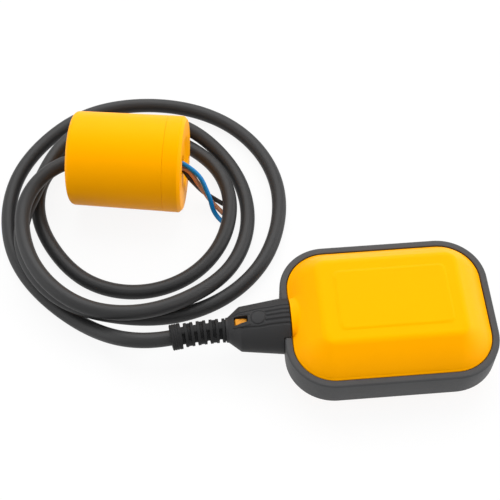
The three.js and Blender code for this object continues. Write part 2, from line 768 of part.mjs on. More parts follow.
add('actuator_lever', actuatorLever(), steel);
add('lever_pin', rod('y', pinRadius, mechanismY - switchWidth / 2 + 0.1, mechanismY + switchWidth / 2 - 0.1,
  pivotX, pivotZ, 12), steel);
add('microswitch_body', microswitchBody(), blackPlastic);
const plungerBottom = pivotZ + plungerFromPin * Math.tan(leverAngle(pivotToBall))
  + leverThickness / 2 / Math.cos(leverAngle(pivotToBall)) + gap;
add('switch_plunger', rod('z', plungerRadius, plungerBottom, switchBottom + plungerSeat - 1.6,
  pivotX - plungerFromPin, mechanismY, 16), whitePlastic);
switchScrews.forEach((x, i) => {
  const face = mechanismY + switchWidth / 2 + gap;
  add(`switch_screw_${i + 1}`, join(
    rod('y', screwRadius, ribY, face + 0.2, x, switchScrewZ, 12),
    rod('y', screwHeadRadius, face, face + screwHead, x, switchScrewZ, 16)), steel);
});

const terminalNames = ['com', 'no', 'nc'];
const terminalFrom = switchEnd - terminalSeat + gap;
terminalNames.forEach((name, i) => {
  const z = switchBottom + terminalRise[i];
  add(`terminal_${name}`, block(terminalFrom, mechanismY - terminalHalfWidth, z - terminalThickness / 2,
    terminalFrom + terminalLength, mechanismY + terminalHalfWidth, z + terminalThickness / 2), brass);
});

// ---------------------------------------------------------------- cores inside the float
const coreNames = ['blue', 'brown', 'black'];
const coreRing = (coreDiameter + 0.38) / Math.sqrt(3);  // three cores side by side

// Place of a core in the jacket's section: [across, up].
function corePlace(i) {
  const angle = Math.PI / 2 + i * 2 * Math.PI / 3;
  return [coreRing * Math.cos(angle), coreRing * Math.sin(angle)];
}

// Each core's run along the box: its stretch beside the switch, where it rises, its terminal.
const coreRuns = {
  blue: { y: 11, z: 16.2, rise: terminalFrom + 4, terminal: 1, lead: 0 },
  brown: { y: 9.2, z: 12.5, rise: terminalFrom + 7.4, terminal: 0, lead: -2.5 },
  black: { y: 12.8, z: 12.5, rise: terminalFrom + 7.4, terminal: 2, lead: 2.5 },
};
coreNames.forEach((name, i) => {
  const [across, up] = corePlace(i);
  const run = coreRuns[name];
  const z = switchBottom + terminalRise[run.terminal];
  const points = [
    [jacketInnerEnd + gap, across, seamHeight + up],
    [boxStart + 1, across, seamHeight + up],
    [boxStart + coreParting - run.lead / 2, across, seamHeight + up],
    [boxStart + coreCrossing - run.lead, run.y - 1.5, run.z + 1],
    [boxStart + coreSettling - run.lead, run.y, run.z],
    [run.rise - coreLift, run.y, run.z],
    [run.rise, run.y, run.z + 1.5],
    [run.rise, run.y - 1, z - 2],
    [run.rise, run.y - 5, z],
    [run.rise, mechanismY + terminalHalfWidth + gap, z],
  ].map((p) => new THREE.Vector3(...p));
  add(`core_${name}`, tube(new Route(points), coreDiameter, 20), coreFinish[name]);
});

// ---------------------------------------------------------------- counterweight
const weightSides = 40;
const weightHeight = weightRadius * Math.cos(Math.PI / weightSides); // lies on a flat of its facets
const weightEnd = weightLength / 2;
const counterweight = new THREE.Group();
counterweight.position.set(weightX, weightY, weightHeight);
counterweight.rotation.z = THREE.MathUtils.degToRad(weightTurn);
assembly.add(counterweight);

// Points of a quarter round from one direction to another, about a centre.
function quarter(station, radius, size, from, steps = 4) {
  return Array.from({ length: steps + 1 }, (unused, i) => {
    const angle = (from + 90 * i / steps) * Math.PI / 180;
    return [station + size * Math.cos(angle), radius + size * Math.sin(angle)];
  }).reverse();
}

// Outside radius at a station along the axis: the pot widens towards its cap.
function weightOutside(station) {
  return weightRadius - weightDraft * (weightEnd - station) / weightLength;
}
const weightInside = weightOutside(-weightEnd) - weightWall;

function weightShell() {
  const bore = colletRadius + gap;
  const tubeEnd = throatFrom + colletLength + 2 * gap;
  const lip = -weightEnd;
  const end = weightJoint - weightGroove / 2;
  return turned([
    [lip, mouthRadius + 0.6],
    ...quarter(lip + weightFillet, weightOutside(lip) - weightFillet, weightFillet, 90),
    [end, weightOutside(end)],
    [end, weightInside],
    [lip + weightWall + 0.5, weightInside],
    [lip + weightWall + 0.5, mouthRadius + 1.8],
    [throatFrom - 6, bore + 2.6],
    [tubeEnd, bore + 2],
    [tubeEnd, bore],
    [throatFrom, bore],
    [throatFrom, boreRadius + 0.5],
    [throatFrom - 6, boreRadius + 1.6],
    [lip + 0.6, mouthRadius],
    [lip, mouthRadius + 0.6],
  ], weightSides);
}

const capFrom = weightJoint + weightGroove / 2;
const spigot = 3.5;
function weightCap() {
  const bore = coreRing + coreDiameter / 2 + 2;
  const plug = weightInside - gap;
  return turned([
    [capFrom, weightOutside(capFrom)],
    [weightEnd - weightEdge, weightRadius],
    [weightEnd - weightEdge / 3, weightRadius - weightEdge / 3],
    [weightEnd, weightRadius - weightEdge],
    [weightEnd, recessRadius + 0.5],
    [weightEnd - 0.5, recessRadius],
    [weightEnd - recessDepth, recessRadius],
    [weightEnd - recessDepth, bore],
    [capFrom, bore],
    [capFrom, plug - 3],
    [capFrom - spigot, plug - 3],
    [capFrom - spigot, plug],
    [capFrom, plug],
    [capFrom, weightOutside(capFrom)],
  ], weightSides);
}

function weightBallast() {
  const outer = weightInside - gap;
  const from = -weightEnd + weightWall + ballastSetback;
  const to = capFrom - spigot - gap;
  return turned([[from, ballastBore + 1], [from, outer - 1], [from + 1, outer], [to, outer],
    [to, ballastBore], [from + 1, ballastBore], [from, ballastBore + 1]], weightSides);
}

function weightCollet() {
  const from = throatFrom + gap;
  const to = from + colletLength;
  const ring = turned([[from, boreRadius], [from, colletRadius], [to, colletRadius], [to, boreRadius],
    [from, boreRadius]], weightSides);
  const slits = [0, 1, 2].map((i) => block(from + 3, -0.5, 0, to + 1, 0.5, colletRadius + 1)
    .rotateX(i * 2 * Math.PI / 3));
  return cut(ring, ...slits);
}

add('weight_shell', weightShell(), yellowPlastic, counterweight);
add('weight_cap', weightCap(), yellowPlastic, counterweight);
add('weight_ballast', weightBallast(), ballastIron, counterweight);
add('weight_collet', weightCollet(), whitePlastic, counterweight);

// A point on the counterweight's axis, at a station from its middle, with an offset across and up.
function weightPoint(station, across = 0, up = 0) {
  return new THREE.Vector3(station, across, up)
    .applyEuler(counterweight.rotation)
    .add(counterweight.position);
}

// ---------------------------------------------------------------- free cable
// Chosen points: out of the relief, down to the floor, three loose turns, then the weight.
const cableRoute = new Route([
  onRelief(jacketMouth + gap).toArray(),
  [-120, -3.2, 18.8], [-138, -0.5, 18], [-159.5, 19, 2], [-181, 38, 5.5], [-195.5, 63, 4],
  [-199.5, 91, 4.5], [-194.5, 119.5, 4], [-178, 143, 4], [-155, 160.5, 4.5], [-126.5, 165.5, 4],
  [-98, 161.5, 4], [-72.5, 148.5, 4], [-54, 126.5, 4], [-45, 99, 4], [-48, 70.5, 4],
  [-60, 44.5, 4], [-82, 25.5, 4], [-109.5, 17, 4], [-137, 15.5, 11.5], [-165.5, 23.5, 15],
  [-184, 45.5, 13], [-192.5, 73.5, 12.5], [-181.5, 100.5, 13], [-171.5, 127, 14], [-153.5, 149.5, 8.5],
  [-124, 150.5, 3.2], [-100.5, 135, 4.5], [-80, 115, 7.5], [-72, 87.5, 9], [-79.5, 59.5, 6],
  [-100, 39.5, 4], [-128.5, 32.5, 4], [-156, 42, 4], [-173.5, 64.5, 4], [-184, 91, 4],
  [-180, 120.5, 4.5], [-155.5, 136.5, 3.2], [-129, 144.5, 13.5], [-99.5, 144, 13.5], [-77, 126.5, 4],
  [-65, 100, 4], [-64, 71, 4], [-76, 44, 4.5], [-97.5, 25.5, 11.5], [-123, 13.5, 17.5],
  [-152.5, 14, 22.5], [-175.5, 33.5, 23], [-187.5, 60, 21], [-188.5, 90.5, 22], [-166.5, 111.2, 26.6],
  [-139.5, 107.9, 26.6],
  weightPoint(weightEnd - stripFrom).toArray(),
].map((p) => new THREE.Vector3(...p)));
add('cable', tube(cableRoute, cableDiameter, 112), cableJacket);
console.log(`cable: ${cableRoute.getLength().toFixed(0)} mm long, `
  + `least gap to itself ${leastSelfGap(cableRoute, cableDiameter, 30).toFixed(2)} mm`);

// Stripped cores: out of the jacket, through the cap and down to the floor.
const tails = {
  blue: [[-105.5, 102.3, 28], [-100.5, 102, 28.5], [-95.5, 99, 26.4], [-91, 96.5, 22.8], [-88.6, 94, 19],
    [-87.1, 91, 15], [-85.1, 88, 10.5], [-84.6, 85.5, 5.5], [-82.3, 82.3, 1.5], [-79, 78, 1.5]],
  brown: [[-106.5, 101, 25.4], [-102.5, 100, 25], [-97.5, 100.5, 24.5], [-94, 97, 21.5], [-92, 95, 18],
    [-89.5, 94, 13], [-87.5, 92.5, 9.5], [-85, 91, 4.4], [-81.5, 88, 1.8], [-78.5, 84, 1.5]],
  black: [[-107, 104, 25.2], [-102.5, 104, 23], [-98.5, 101, 21.5], [-96.5, 97.5, 19.5], [-94, 96.5, 16],
    [-91.5, 96, 11.5], [-88.5, 95, 7.5], [-85, 94.5, 4.2], [-81.5, 93, 1.9], [-78, 90.5, 1.5]],
};
coreNames.forEach((name, i) => {
  const [across, up] = corePlace(i);
  const inCap = [gap, gap + 3].map((past) => weightPoint(weightEnd - stripFrom + past, across, up));
  const route = new Route([...inCap, ...tails[name].map((p) => new THREE.Vector3(...p))]);
  add(`tail_core_${name}`, tube(route, coreDiameter, 16), coreFinish[name]);
  const end = route.getPoint(1);
  const along = route.getTangent(1).setZ(0).normalize();
  const copperEnd = new THREE.LineCurve3(end.clone().addScaledVector(along, 2 * gap),
    end.clone().addScaledVector(along, 2 * gap + copperLength));
  add(`tail_copper_${name}`, tube(copperEnd, copperDiameter, 1), copper);
});

export default assembly;
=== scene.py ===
# %% [markdown]
# # A cable float switch, dressed for its portrait
#
# The engineering model arrives as a fixed frame: a float with its neck and strain relief, three
# loose turns of cable, and a counterweight with three bare cores. This lesson gives each visible
# moulding a smooth surface worked out with numpy, and each material its own grain and gloss.
# Everything is in metres in the frame's own axes: +X along the float, away from its cable,
# and +Z up from the floor.

# %% Load the frame
import json
import math

import bpy
import numpy as np
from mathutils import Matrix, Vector


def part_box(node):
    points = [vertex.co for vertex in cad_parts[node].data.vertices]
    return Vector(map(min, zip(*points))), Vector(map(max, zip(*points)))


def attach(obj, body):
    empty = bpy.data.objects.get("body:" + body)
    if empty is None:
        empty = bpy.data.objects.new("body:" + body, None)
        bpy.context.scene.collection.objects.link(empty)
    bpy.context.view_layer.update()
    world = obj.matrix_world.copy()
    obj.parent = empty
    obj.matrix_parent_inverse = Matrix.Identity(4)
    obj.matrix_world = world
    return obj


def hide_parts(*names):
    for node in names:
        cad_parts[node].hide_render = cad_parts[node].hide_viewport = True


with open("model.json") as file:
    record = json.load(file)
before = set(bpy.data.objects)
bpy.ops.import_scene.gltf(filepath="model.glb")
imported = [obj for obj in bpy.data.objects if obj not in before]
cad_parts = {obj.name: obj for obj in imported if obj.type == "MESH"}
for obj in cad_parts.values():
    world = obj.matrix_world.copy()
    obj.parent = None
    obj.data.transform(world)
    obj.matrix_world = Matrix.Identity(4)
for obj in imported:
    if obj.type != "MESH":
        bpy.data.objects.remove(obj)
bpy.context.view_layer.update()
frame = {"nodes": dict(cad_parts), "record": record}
nodes = frame["nodes"]
scene = bpy.context.scene
mm = 0.001

# %% [markdown]
# ## The camera
#
# A small thing on a table is taken from well above with a long lens. The camera could track an
# empty, but its rotation is simply worked out once, from where it stands to where it looks.

# %% Camera
stand = Vector((-0.0938, -0.28205, 0.5355))
aim = Vector((-0.06545, 0.05944, 0.0))
camera_data = bpy.data.cameras.new("camera")
camera_data.lens = 82.9
camera_data.sensor_width = 36
camera = bpy.data.objects.new("camera", camera_data)
camera.location = stand
camera.rotation_euler = (aim - stand).to_track_quat("-Z", "Y").to_euler()
scene.collection.objects.link(camera)
scene.camera = camera
print("camera:", round((aim - stand).length, 3), "m from where it looks")

# %% [markdown]
# ## Surfaces from arrays
#
# Almost every moulding here is a grid of points: rows along a profile or a path, columns
# around a section. One helper turns such a grid into a mesh. It joins the last column to the
# first, closes the ends or joins the last row to the first, and turns the faces outwards by
# the sign of the enclosed volume, so that no shape comes out inside out.


# %% From a grid to a mesh
def quads(rows, columns, ring):
    """Corner numbers of the quads of a grid that closes on itself across; with ring, along as well."""
    row = np.arange(rows if ring else rows - 1)[:, None] * columns
    next_row = (row + columns) % (rows * columns)
    column = np.arange(columns)[None, :]
    next_column = (column + 1) % columns
    corners = [row + column, row + next_column, next_row + next_column, next_row + column]
    return np.stack(corners, axis=-1).reshape(-1, 4)


def enclosed(points, faces):
    """Volume inside a skin: a sixth of the sum of a . (b x c) over its triangles."""
    a, b, c, d = (points[faces[:, k]] for k in range(4))
    return ((a * np.cross(b, c)).sum() + (a * np.cross(c, d)).sum()) / 6


def mesh_object(name, points, polygons, sharp):
    """A mesh object with smooth shading, except across edges that turn by more than sharp degrees."""
    mesh = bpy.data.meshes.new(name)
    mesh.from_pydata(points.tolist(), [], polygons)
    mesh.polygons.foreach_set("use_smooth", np.ones(len(polygons), bool))
    mesh.set_sharp_from_angle(angle=math.radians(sharp))
    mesh.update()
    made = bpy.data.objects.new(name, mesh)
    scene.collection.objects.link(made)
    return made


def closed_faces(grid, ring=False):
    """Polygons that face outwards: the grid's quads, with a cap at both ends unless it is a ring."""
    rows, columns = grid.shape[:2]
    points = grid.reshape(-1, 3)
    faces = quads(rows, columns, ring)
    outward = enclosed(points - points.mean(axis=0), faces) >= 0
    polygons = (faces if outward else faces[:, ::-1]).tolist()
    if not ring:
        first = list(range(columns))
        last = [(rows - 1) * columns + k for k in range(columns)]
        polygons += [first[::-1], last] if outward else [first, last[::-1]]
    return polygons


def skin(name, grid, ring=False, sharp=32.0):
    """A closed mesh from a (rows, columns, 3) grid: capped at both ends, or joined into a ring."""
    return mesh_object(name, grid.reshape(-1, 3), closed_faces(grid, ring), sharp)


print("a grid of 3 rows and 4 columns has", len(quads(3, 4, False)), "quads")


# %% [markdown]
# Profiles are drawn as a few corners with a radius each, as a toolmaker would dimension them.
# One helper turns each corner into an arc. Another adds points along the straight stretches,
# where a bump or a recess needs them.


# %% Profiles with rounded corners
def rounded(corners, radii, steps=6, closed=False):
    """A polyline whose corners become arcs, each tangent to both sides and centred on their bisector.
    No arc takes more than most_of_side of a side, so that two arcs on one side never meet."""
    most_of_side = 0.48
    corners = np.asarray(corners, float)
    count = len(corners)
    out = []
    for i, radius in enumerate(radii):
        here = corners[i]
        if radius <= 0 or (not closed and i in (0, count - 1)):
            out.append(here[None])
            continue
        back = corners[i - 1] - here
        ahead = corners[(i + 1) % count] - here
        room = most_of_side * min(np.linalg.norm(back), np.linalg.norm(ahead))
        back, ahead = back / np.linalg.norm(back), ahead / np.linalg.norm(ahead)
        half = math.acos(np.clip(back @ ahead, -1, 1)) / 2
        reach = min(radius / math.tan(half), room)
        radius = reach * math.tan(half)
        centre = here + (back + ahead) / np.linalg.norm(back + ahead) * radius / math.sin(half)
        start, end = here + back * reach - centre, here + ahead * reach - centre
        sweep = math.pi - 2 * half
        t = np.linspace(0, 1, steps + 1)[:, None]
        out.append(centre + (np.sin((1 - t) * sweep) * start + np.sin(t * sweep) * end) / math.sin(sweep))
    return np.concatenate(out)


def dense(line, step):
    """The same polyline with extra points, so that no segment is longer than step."""
    out = [line[:1]]
    for a, b in zip(line[:-1], line[1:]):
        parts = max(1, math.ceil(np.linalg.norm(b - a) / step))
        t = np.linspace(0, 1, parts + 1)[1:, None]
        out.append(a + (b - a) * t)
    return np.concatenate(out)


square = [(0, 0), (1, 0), (1, 1), (0, 1)]
print("a square with rounded corners has", len(rounded(square, [0.1] * 4, closed=True)), "points")

# %% [markdown]
# ## The cable
#
# The lead is 8 mm rubber cable. It leaves the relief, drops to the table and makes three loose
# turns, each lying on the one below where they cross. It is a fixed length of something
# springy, so its route is one smooth curve: a cubic B-spline over the same chosen points as in
# the engineering model, scaled to metres. A curve object with a bevel would do for the shape, but
# a mesh tube can also carry a coordinate along its length, which its material needs.


# %% Routes and tubes
def spline(points, per_span):
    """Uniform cubic B-spline: each span blends four points with weights (1-f)^3, 3f^3-6f^2+4,
    -3f^3+3f^2+3f+1 and f^3, all over 6. The end points are mirrored, so the curve reaches them."""
    points = np.asarray(points, float)
    points = np.vstack([2 * points[0] - points[1], points, 2 * points[-1] - points[-2]])
    spans = len(points) - 3
    f = np.arange(per_span) / per_span
    weights = np.stack([(1 - f) ** 3, 3 * f**3 - 6 * f**2 + 4, -3 * f**3 + 3 * f**2 + 3 * f + 1, f**3]) / 6
    windows = np.stack([points[k : k + spans] for k in range(4)])
    curve = np.einsum("kf,ksd->sfd", weights, windows).reshape(-1, 3)
    return np.vstack([curve, points[-2]])


def run_of(path):
    """Distance along a polyline at each of its points."""
    return np.concatenate([[0.0], np.linalg.norm(np.diff(path, axis=0), axis=1).cumsum()])


def tube_grid(path, radius, around, edge):
    """Rings at right angles to a path, with side = t x Z and up = side x t. Over the first and last
    stretch, e long, the ring's radius is r - e (1 - sin a) at a depth e (1 - cos a): a rounded end."""
    tangent = np.gradient(path, axis=0)
    tangent /= np.linalg.norm(tangent, axis=1, keepdims=True)
    side = np.cross(tangent, [0.0, 0.0, 1.0])
    side /= np.linalg.norm(side, axis=1, keepdims=True)
    up = np.cross(side, tangent)
    end_rings = 4
    a = np.linspace(0, math.pi / 2, end_rings)
    size = radius - edge * (1 - np.sin(a))
    depth = (edge * (1 - np.cos(a)))[:, None]
    centre = np.vstack([path[0] + tangent[0] * depth, path[1:-1], path[-1] - tangent[-1] * depth[::-1]])
    size = np.concatenate([size, np.full(len(path) - 2, radius), size[::-1]])
    index = np.clip(np.arange(len(centre)) - (end_rings - 1), 0, len(path) - 1)
    turn = np.linspace(0, 2 * math.pi, around, endpoint=False)[None, :, None]
    ring = side[index, None] * np.cos(turn) + up[index, None] * np.sin(turn)
    return centre[:, None] + ring * size[:, None, None]


def tube(name, path, radius, around=24, edge=0.2 * mm):
    """A tube along a path. Its "lay" attribute holds (r cos a, r sin a, distance along) at each point,
    so that a pattern can run along the tube and close on itself around it."""
    grid = tube_grid(path, radius, around, edge)
    made = skin(name, grid)
    along = run_of(grid.mean(axis=1))
    turn = np.linspace(0, 2 * math.pi, around, endpoint=False)
    lay = np.empty(grid.shape)
    lay[..., 0] = radius * np.cos(turn)
    lay[..., 1] = radius * np.sin(turn)
    lay[..., 2] = along[:, None]
    made.data.attributes.new("lay", "FLOAT_VECTOR", "POINT").data.foreach_set("vector", lay.ravel())
    return made


bend = spline([(0, 0, 0), (1, 0, 0), (1, 1, 0)], 8)
print("a curve over a bend of two units is", round(float(run_of(bend)[-1]), 3), "units long")

# %% [markdown]
# Both ends of the cable are set out before the cable itself. The counterweight lies on its
# side, turned a little in plan, and its axis stands one radius above the table. The relief
# leaves the float level with the rim and bends sideways, so its line is an arc. Each line gets
# a small function from a distance along it to a point, because several pieces share it.

# %% The counterweight's axis
weight_middle = np.array([-128.5, 106.1, 26.52]) * mm
weight_turn = math.radians(-9.1)
weight_along = np.array([math.cos(weight_turn), math.sin(weight_turn), 0.0])
weight_across = np.array([-math.sin(weight_turn), math.cos(weight_turn), 0.0])


def weight_point(station, across=0.0, up=0.0):
    """A point at a station along the counterweight's axis from its middle, with an offset, in mm."""
    return weight_middle + (weight_along * station + weight_across * across) * mm + np.array([0, 0, up * mm])


shell_box = np.array(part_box("weight_shell"))
print("weight axis height", weight_middle[2], "and half the shell's height", round(shell_box[:, 2].mean(), 5))

# %% The relief's line
# The start and the length are in mm, and the bend, which is the turn over that length, in radians.
seam_height = float(np.mean([corner[2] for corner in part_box("rim_band")])) / mm
relief_start, relief_length, relief_bend = -83.0, 28.0, 0.15


def on_relief(along, across=0.0, up=0.0):
    """A point on the relief, in mm, whose line is an arc towards -Y. With a = k s at the run s:
    x = start - sin a / k - across sin a, and y = -(1 - cos a) / k + across cos a."""
    curve = relief_bend / relief_length
    angle = curve * np.asarray(along, float)
    x = relief_start - np.sin(angle) / curve - across * np.sin(angle)
    y = -(1 - np.cos(angle)) / curve + across * np.cos(angle)
    return np.stack([x, y, seam_height + up + 0 * x], axis=-1)


print("the relief ends at", np.round(on_relief(relief_length), 1), "mm")

# %% [markdown]
# The route itself is a list of points, given in millimetres: first on the table along
# each loop, then raised wherever one turn crosses another. Letting a simulated cable fall could
# find a lie too, but not this one, and not the same one each time.

# %% Cable
# The jacket starts inside the relief's collar and ends at a station on the counterweight's axis.
cable_diameter = 8 * mm
jacket_mouth, jacket_end = 24.3, 17.0
points_per_span = 18
cable_points = [
    tuple(on_relief(jacket_mouth)),
    (-120, -3.2, 18.8), (-138, -0.5, 18), (-159.5, 19, 2), (-181, 38, 5.5), (-195.5, 63, 4),
    (-199.5, 91, 4.5), (-194.5, 119.5, 4), (-178, 143, 4), (-155, 160.5, 4.5), (-126.5, 165.5, 4),
    (-98, 161.5, 4), (-72.5, 148.5, 4), (-54, 126.5, 4), (-45, 99, 4), (-48, 70.5, 4),
    (-60, 44.5, 4), (-82, 25.5, 4), (-109.5, 17, 4), (-137, 15.5, 11.5), (-165.5, 23.5, 15),
    (-184, 45.5, 13), (-192.5, 73.5, 12.5), (-181.5, 100.5, 13), (-171.5, 127, 14), (-153.5, 149.5, 8.5),
    (-124, 150.5, 3.2), (-100.5, 135, 4.5), (-80, 115, 7.5), (-72, 87.5, 9), (-79.5, 59.5, 6),
    (-100, 39.5, 4), (-128.5, 32.5, 4), (-156, 42, 4), (-173.5, 64.5, 4), (-184, 91, 4),
    (-180, 120.5, 4.5), (-155.5, 136.5, 3.2), (-129, 144.5, 13.5), (-99.5, 144, 13.5), (-77, 126.5, 4),
    (-65, 100, 4), (-64, 71, 4), (-76, 44, 4.5), (-97.5, 25.5, 11.5), (-123, 13.5, 17.5),
    (-152.5, 14, 22.5), (-175.5, 33.5, 23), (-187.5, 60, 21), (-188.5, 90.5, 22), (-166.5, 111.2, 26.6),
    (-139.5, 107.9, 26.6),
]
cable_path = spline(np.vstack([np.array(cable_points) * mm, weight_point(jacket_end)]), points_per_span)
cable = tube("cable_jacket", cable_path, cable_diameter / 2, around=28, edge=0.6 * mm)
print("cable:", round(run_of(cable_path)[-1], 4), "m long,", len(cable_path), "rings")

# %% [markdown]
# The jacket ends inside the counterweight, just behind its cap, and three cores go on: blue over
# brown and black, curling down to the table and under the cable. Each is a short cord of its
# own, made as the cable is, and ends in a few millimetres of bare twisted copper. A particle or
# curve array could lay the wires, but seven small tubes in one mesh are simpler to keep closed.

# %% Cores
# Three round cores that lie core_gap apart stand on a circle of radius (d + gap) / sqrt 3.
core_size, core_gap = 2.6, 0.38
core_diameter = core_size * mm
core_offset = (core_size + core_gap) / math.sqrt(3)
straight_from, straight_to, core_points_per_span = 0.3, 3.3, 8
core_points = {
    "blue": [
        (-105.5, 102.3, 28), (-100.5, 102, 28.5), (-95.5, 99, 26.4), (-91, 96.5, 22.8), (-88.6, 94, 19),
        (-87.1, 91, 15), (-85.1, 88, 10.5), (-84.6, 85.5, 5.5), (-82.3, 82.3, 1.5), (-79, 78, 1.5),
    ],
    "brown": [
        (-106.5, 101, 25.4), (-102.5, 100, 25), (-97.5, 100.5, 24.5), (-94, 97, 21.5), (-92, 95, 18),
        (-89.5, 94, 13), (-87.5, 92.5, 9.5), (-85, 91, 4.4), (-81.5, 88, 1.8), (-78.5, 84, 1.5),
    ],
    "black": [
        (-107, 104, 25.2), (-102.5, 104, 23), (-98.5, 101, 21.5), (-96.5, 97.5, 19.5), (-94, 96.5, 16),
        (-91.5, 96, 11.5), (-88.5, 95, 7.5), (-85, 94.5, 4.2), (-81.5, 93, 1.9), (-78, 90.5, 1.5),
    ],
}
cores, core_paths = {}, {}
for i, (colour, points) in enumerate(core_points.items()):
    angle = math.pi / 2 + i * 2 * math.pi / 3
    across, up = core_offset * math.cos(angle), core_offset * math.sin(angle)
    inside = [weight_point(jacket_end + past, across, up) for past in (straight_from, straight_to)]
    path = spline(np.vstack([inside, np.array(points) * mm]), core_points_per_span)
    core_paths[colour] = path
    cores[colour] = tube(f"core_end_{colour}", path, core_diameter / 2, around=20, edge=0.12 * mm)
    print(colour, "core:", round(run_of(path)[-1], 4), "m")


# %% Copper strands
def strands(name, start, along, length, count=6, strand=0.27 * mm):
    """Thin wires about one straight wire: centre = axis + R (cos(a + k t), sin(a + k t)), a helix
    with one starting angle a for each wire and a turn of k over the length."""
    helix_radius, helix_turn, rings = 1.9 * strand, 1.6, 14
    t = np.linspace(0, 1, rings)
    side = np.cross(along, [0.0, 0.0, 1.0])
    side /= np.linalg.norm(side)
    up = np.cross(side, along)
    grids = []
    for i in range(count + 1):
        reach = 0 if i == count else helix_radius
        angle = i * 2 * math.pi / count + helix_turn * t
        path = start + along * (t * length)[:, None]
        path = path + reach * (side * np.cos(angle)[:, None] + up * np.sin(angle)[:, None])
        grids.append(tube_grid(path, strand, around=10, edge=0.05 * mm))
    faces = closed_faces(grids[0])
    points_each = grids[0].shape[0] * grids[0].shape[1]
    polygons = [[corner + i * points_each for corner in face] for i in range(count + 1) for face in faces]
    return mesh_object(name, np.concatenate([grid.reshape(-1, 3) for grid in grids]), polygons, sharp=40)


# The bare length starts copper_clear beyond the core; the wires start copper_sunk inside it, so
# that no gap shows between them.
copper_length = 4.5 * mm
copper_sunk = 0.3 * mm
copper_clear = 0.6 * mm
copper_ends = {}
for colour, path in core_paths.items():
    along = path[-1] - path[-2]
    along[2] = 0
    along /= np.linalg.norm(along)
    start = path[-1] - along * copper_sunk
    length = copper_sunk + copper_clear + copper_length
    copper_ends[colour] = strands(f"copper_{colour}", start, along, length)
print("bare ends:", len(copper_ends), "of", round(copper_length / mm, 1), "mm")

# %% [markdown]
# ## The float's shells
#
# Each shell is a moulded tray: a flat field, soft creases, sides at about 45 degrees that run
# out into wide corners, and a flange that the rim grips. The sides swell a little half way up,
# a low boss makes room where the cable comes in, and a plain panel stands slightly proud of the
# upper flat. All of it is one family of rounded rectangles, so the surface is a profile of
# (inset, height) carried round a plan. Box modelling with a subdivision surface could make it,
# but then each size would depend on the cage.


# %% Plans
def plan_frame(corner, top, left, bottom, right):
    """A rounded rectangle's recipe, anticlockwise: for each column, which skeleton corner or side it
    belongs to (sx, sy in -1..1) and its outward direction. The point is s (half - r) + r (cos, sin)."""
    quarter = np.linspace(0, math.pi / 2, corner + 1)
    sides = [(top, 1, 1, -1, 1), (left, -1, 1, -1, -1), (bottom, -1, -1, 1, -1), (right, 1, -1, 1, 1)]
    sx, sy, angle = [], [], []
    for i, (count, x0, y0, x1, y1) in enumerate(sides):
        t = np.linspace(0, 1, count + 1)[1:-1]
        sx += [np.full(corner + 1, x0), x0 + (x1 - x0) * t]
        sy += [np.full(corner + 1, y0), y0 + (y1 - y0) * t]
        angle += [quarter + i * math.pi / 2, np.full(len(t), (i + 1) * math.pi / 2)]
    angle = np.concatenate(angle)
    return np.concatenate(sx), np.concatenate(sy), np.cos(angle), np.sin(angle)


def outlines(recipe, half_x, half_y, radius, shift=0.0):
    """Plan points of many rounded rectangles at once: arrays of rows against the recipe's columns."""
    sx, sy, cos, sin = recipe
    half_x, half_y, radius, shift = (np.atleast_1d(v)[:, None] for v in (half_x, half_y, radius, shift))
    return shift + sx * (half_x - radius) + radius * cos, sy * (half_y - radius) + radius * sin


band_half = np.array([53.8, 40.5]) * mm
band_radius = 24.3 * mm
band_low, band_high = (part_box("rim_band")[k][2] for k in (0, 1))
shell_inset = 3.9 * mm
dome_half = band_half - shell_inset
dome_radius = band_radius - shell_inset
float_plan = plan_frame(corner=22, top=44, left=72, bottom=44, right=40)
print("band", np.round(band_half * 2 / mm, 1), "mm in plan,", len(float_plan[0]), "columns")

# %% The boss
boss_size = np.array([10.0, 10.5, 5.9]) * mm
boss_fillet = 1.5 * mm


def boss_height(x, y):
    """Half an ellipsoid over the cable's way in, about the dome's edge:
    height = c sqrt(1 - (x/a)^2 - (y/b)^2)."""
    a, b, c = boss_size
    return c * np.sqrt(np.clip(1 - ((x + dome_half[0]) / a) ** 2 - (y / b) ** 2, 0, None))


print("boss:", round(float(boss_height(-dome_half[0], 0.0)) / mm, 1), "mm high")


# %% Stations of a shell's plan
# In mm: the wall, the flange's reach and how far it lies under the shoulder, and how far from the
# middle the last row stops, with its corner radius.
wall, flange, lip = 2.5, 1.6, 2.7
last_row, last_corner = 3.0, 0.6


def shell_stations(flat_half, flat_radius, panel):
    """Rows of (inset, half x, half y, corner radius, shift) in mm: at the flange, the dome's wall, the
    flat, the panel's edge if there is one, and the last row, which is inset evenly from there."""
    dome_x, dome_y = dome_half / mm
    dome_corner = dome_radius / mm
    slope = dome_x - flat_half[0]
    stations = [
        (-flange, dome_x + flange, dome_y + flange, dome_corner + flange, 0),
        (0, dome_x, dome_y, dome_corner, 0),
        (slope, *flat_half, flat_radius, 0),
    ]
    if panel:
        inset = slope + flat_half[0] - panel["half"][0]
        stations.append((inset, *panel["half"], panel["radius"], panel["shift"]))
    end = slope + min(flat_half) - last_row
    inset, half_x, half_y, _, shift = stations[-1]
    stations.append((end, half_x - (end - inset), half_y - (end - inset), last_corner, shift))
    return np.array(stations)


def inner_stations(stations):
    """The same for the inside: one wall further in at the dome's wall and the flat, and centred."""
    inner = stations[[1, 2, -1]]
    inner[:2, 0] += wall
    inner[:2, 1:3] -= wall
    inner[0, 3] -= wall
    inner[:, 4] = 0
    return inner


def plan_at(stations, inset):
    """Plan points in metres for rows at these insets, with sizes in straight lines between stations."""
    sizes = [np.interp(inset, stations[:, 0], column) * mm for column in stations[:, 1:].T]
    return outlines(float_plan, *sizes)


print("dome:", np.round(dome_half * 2 / mm, 1), "mm in plan, with a wall of", wall, "mm")


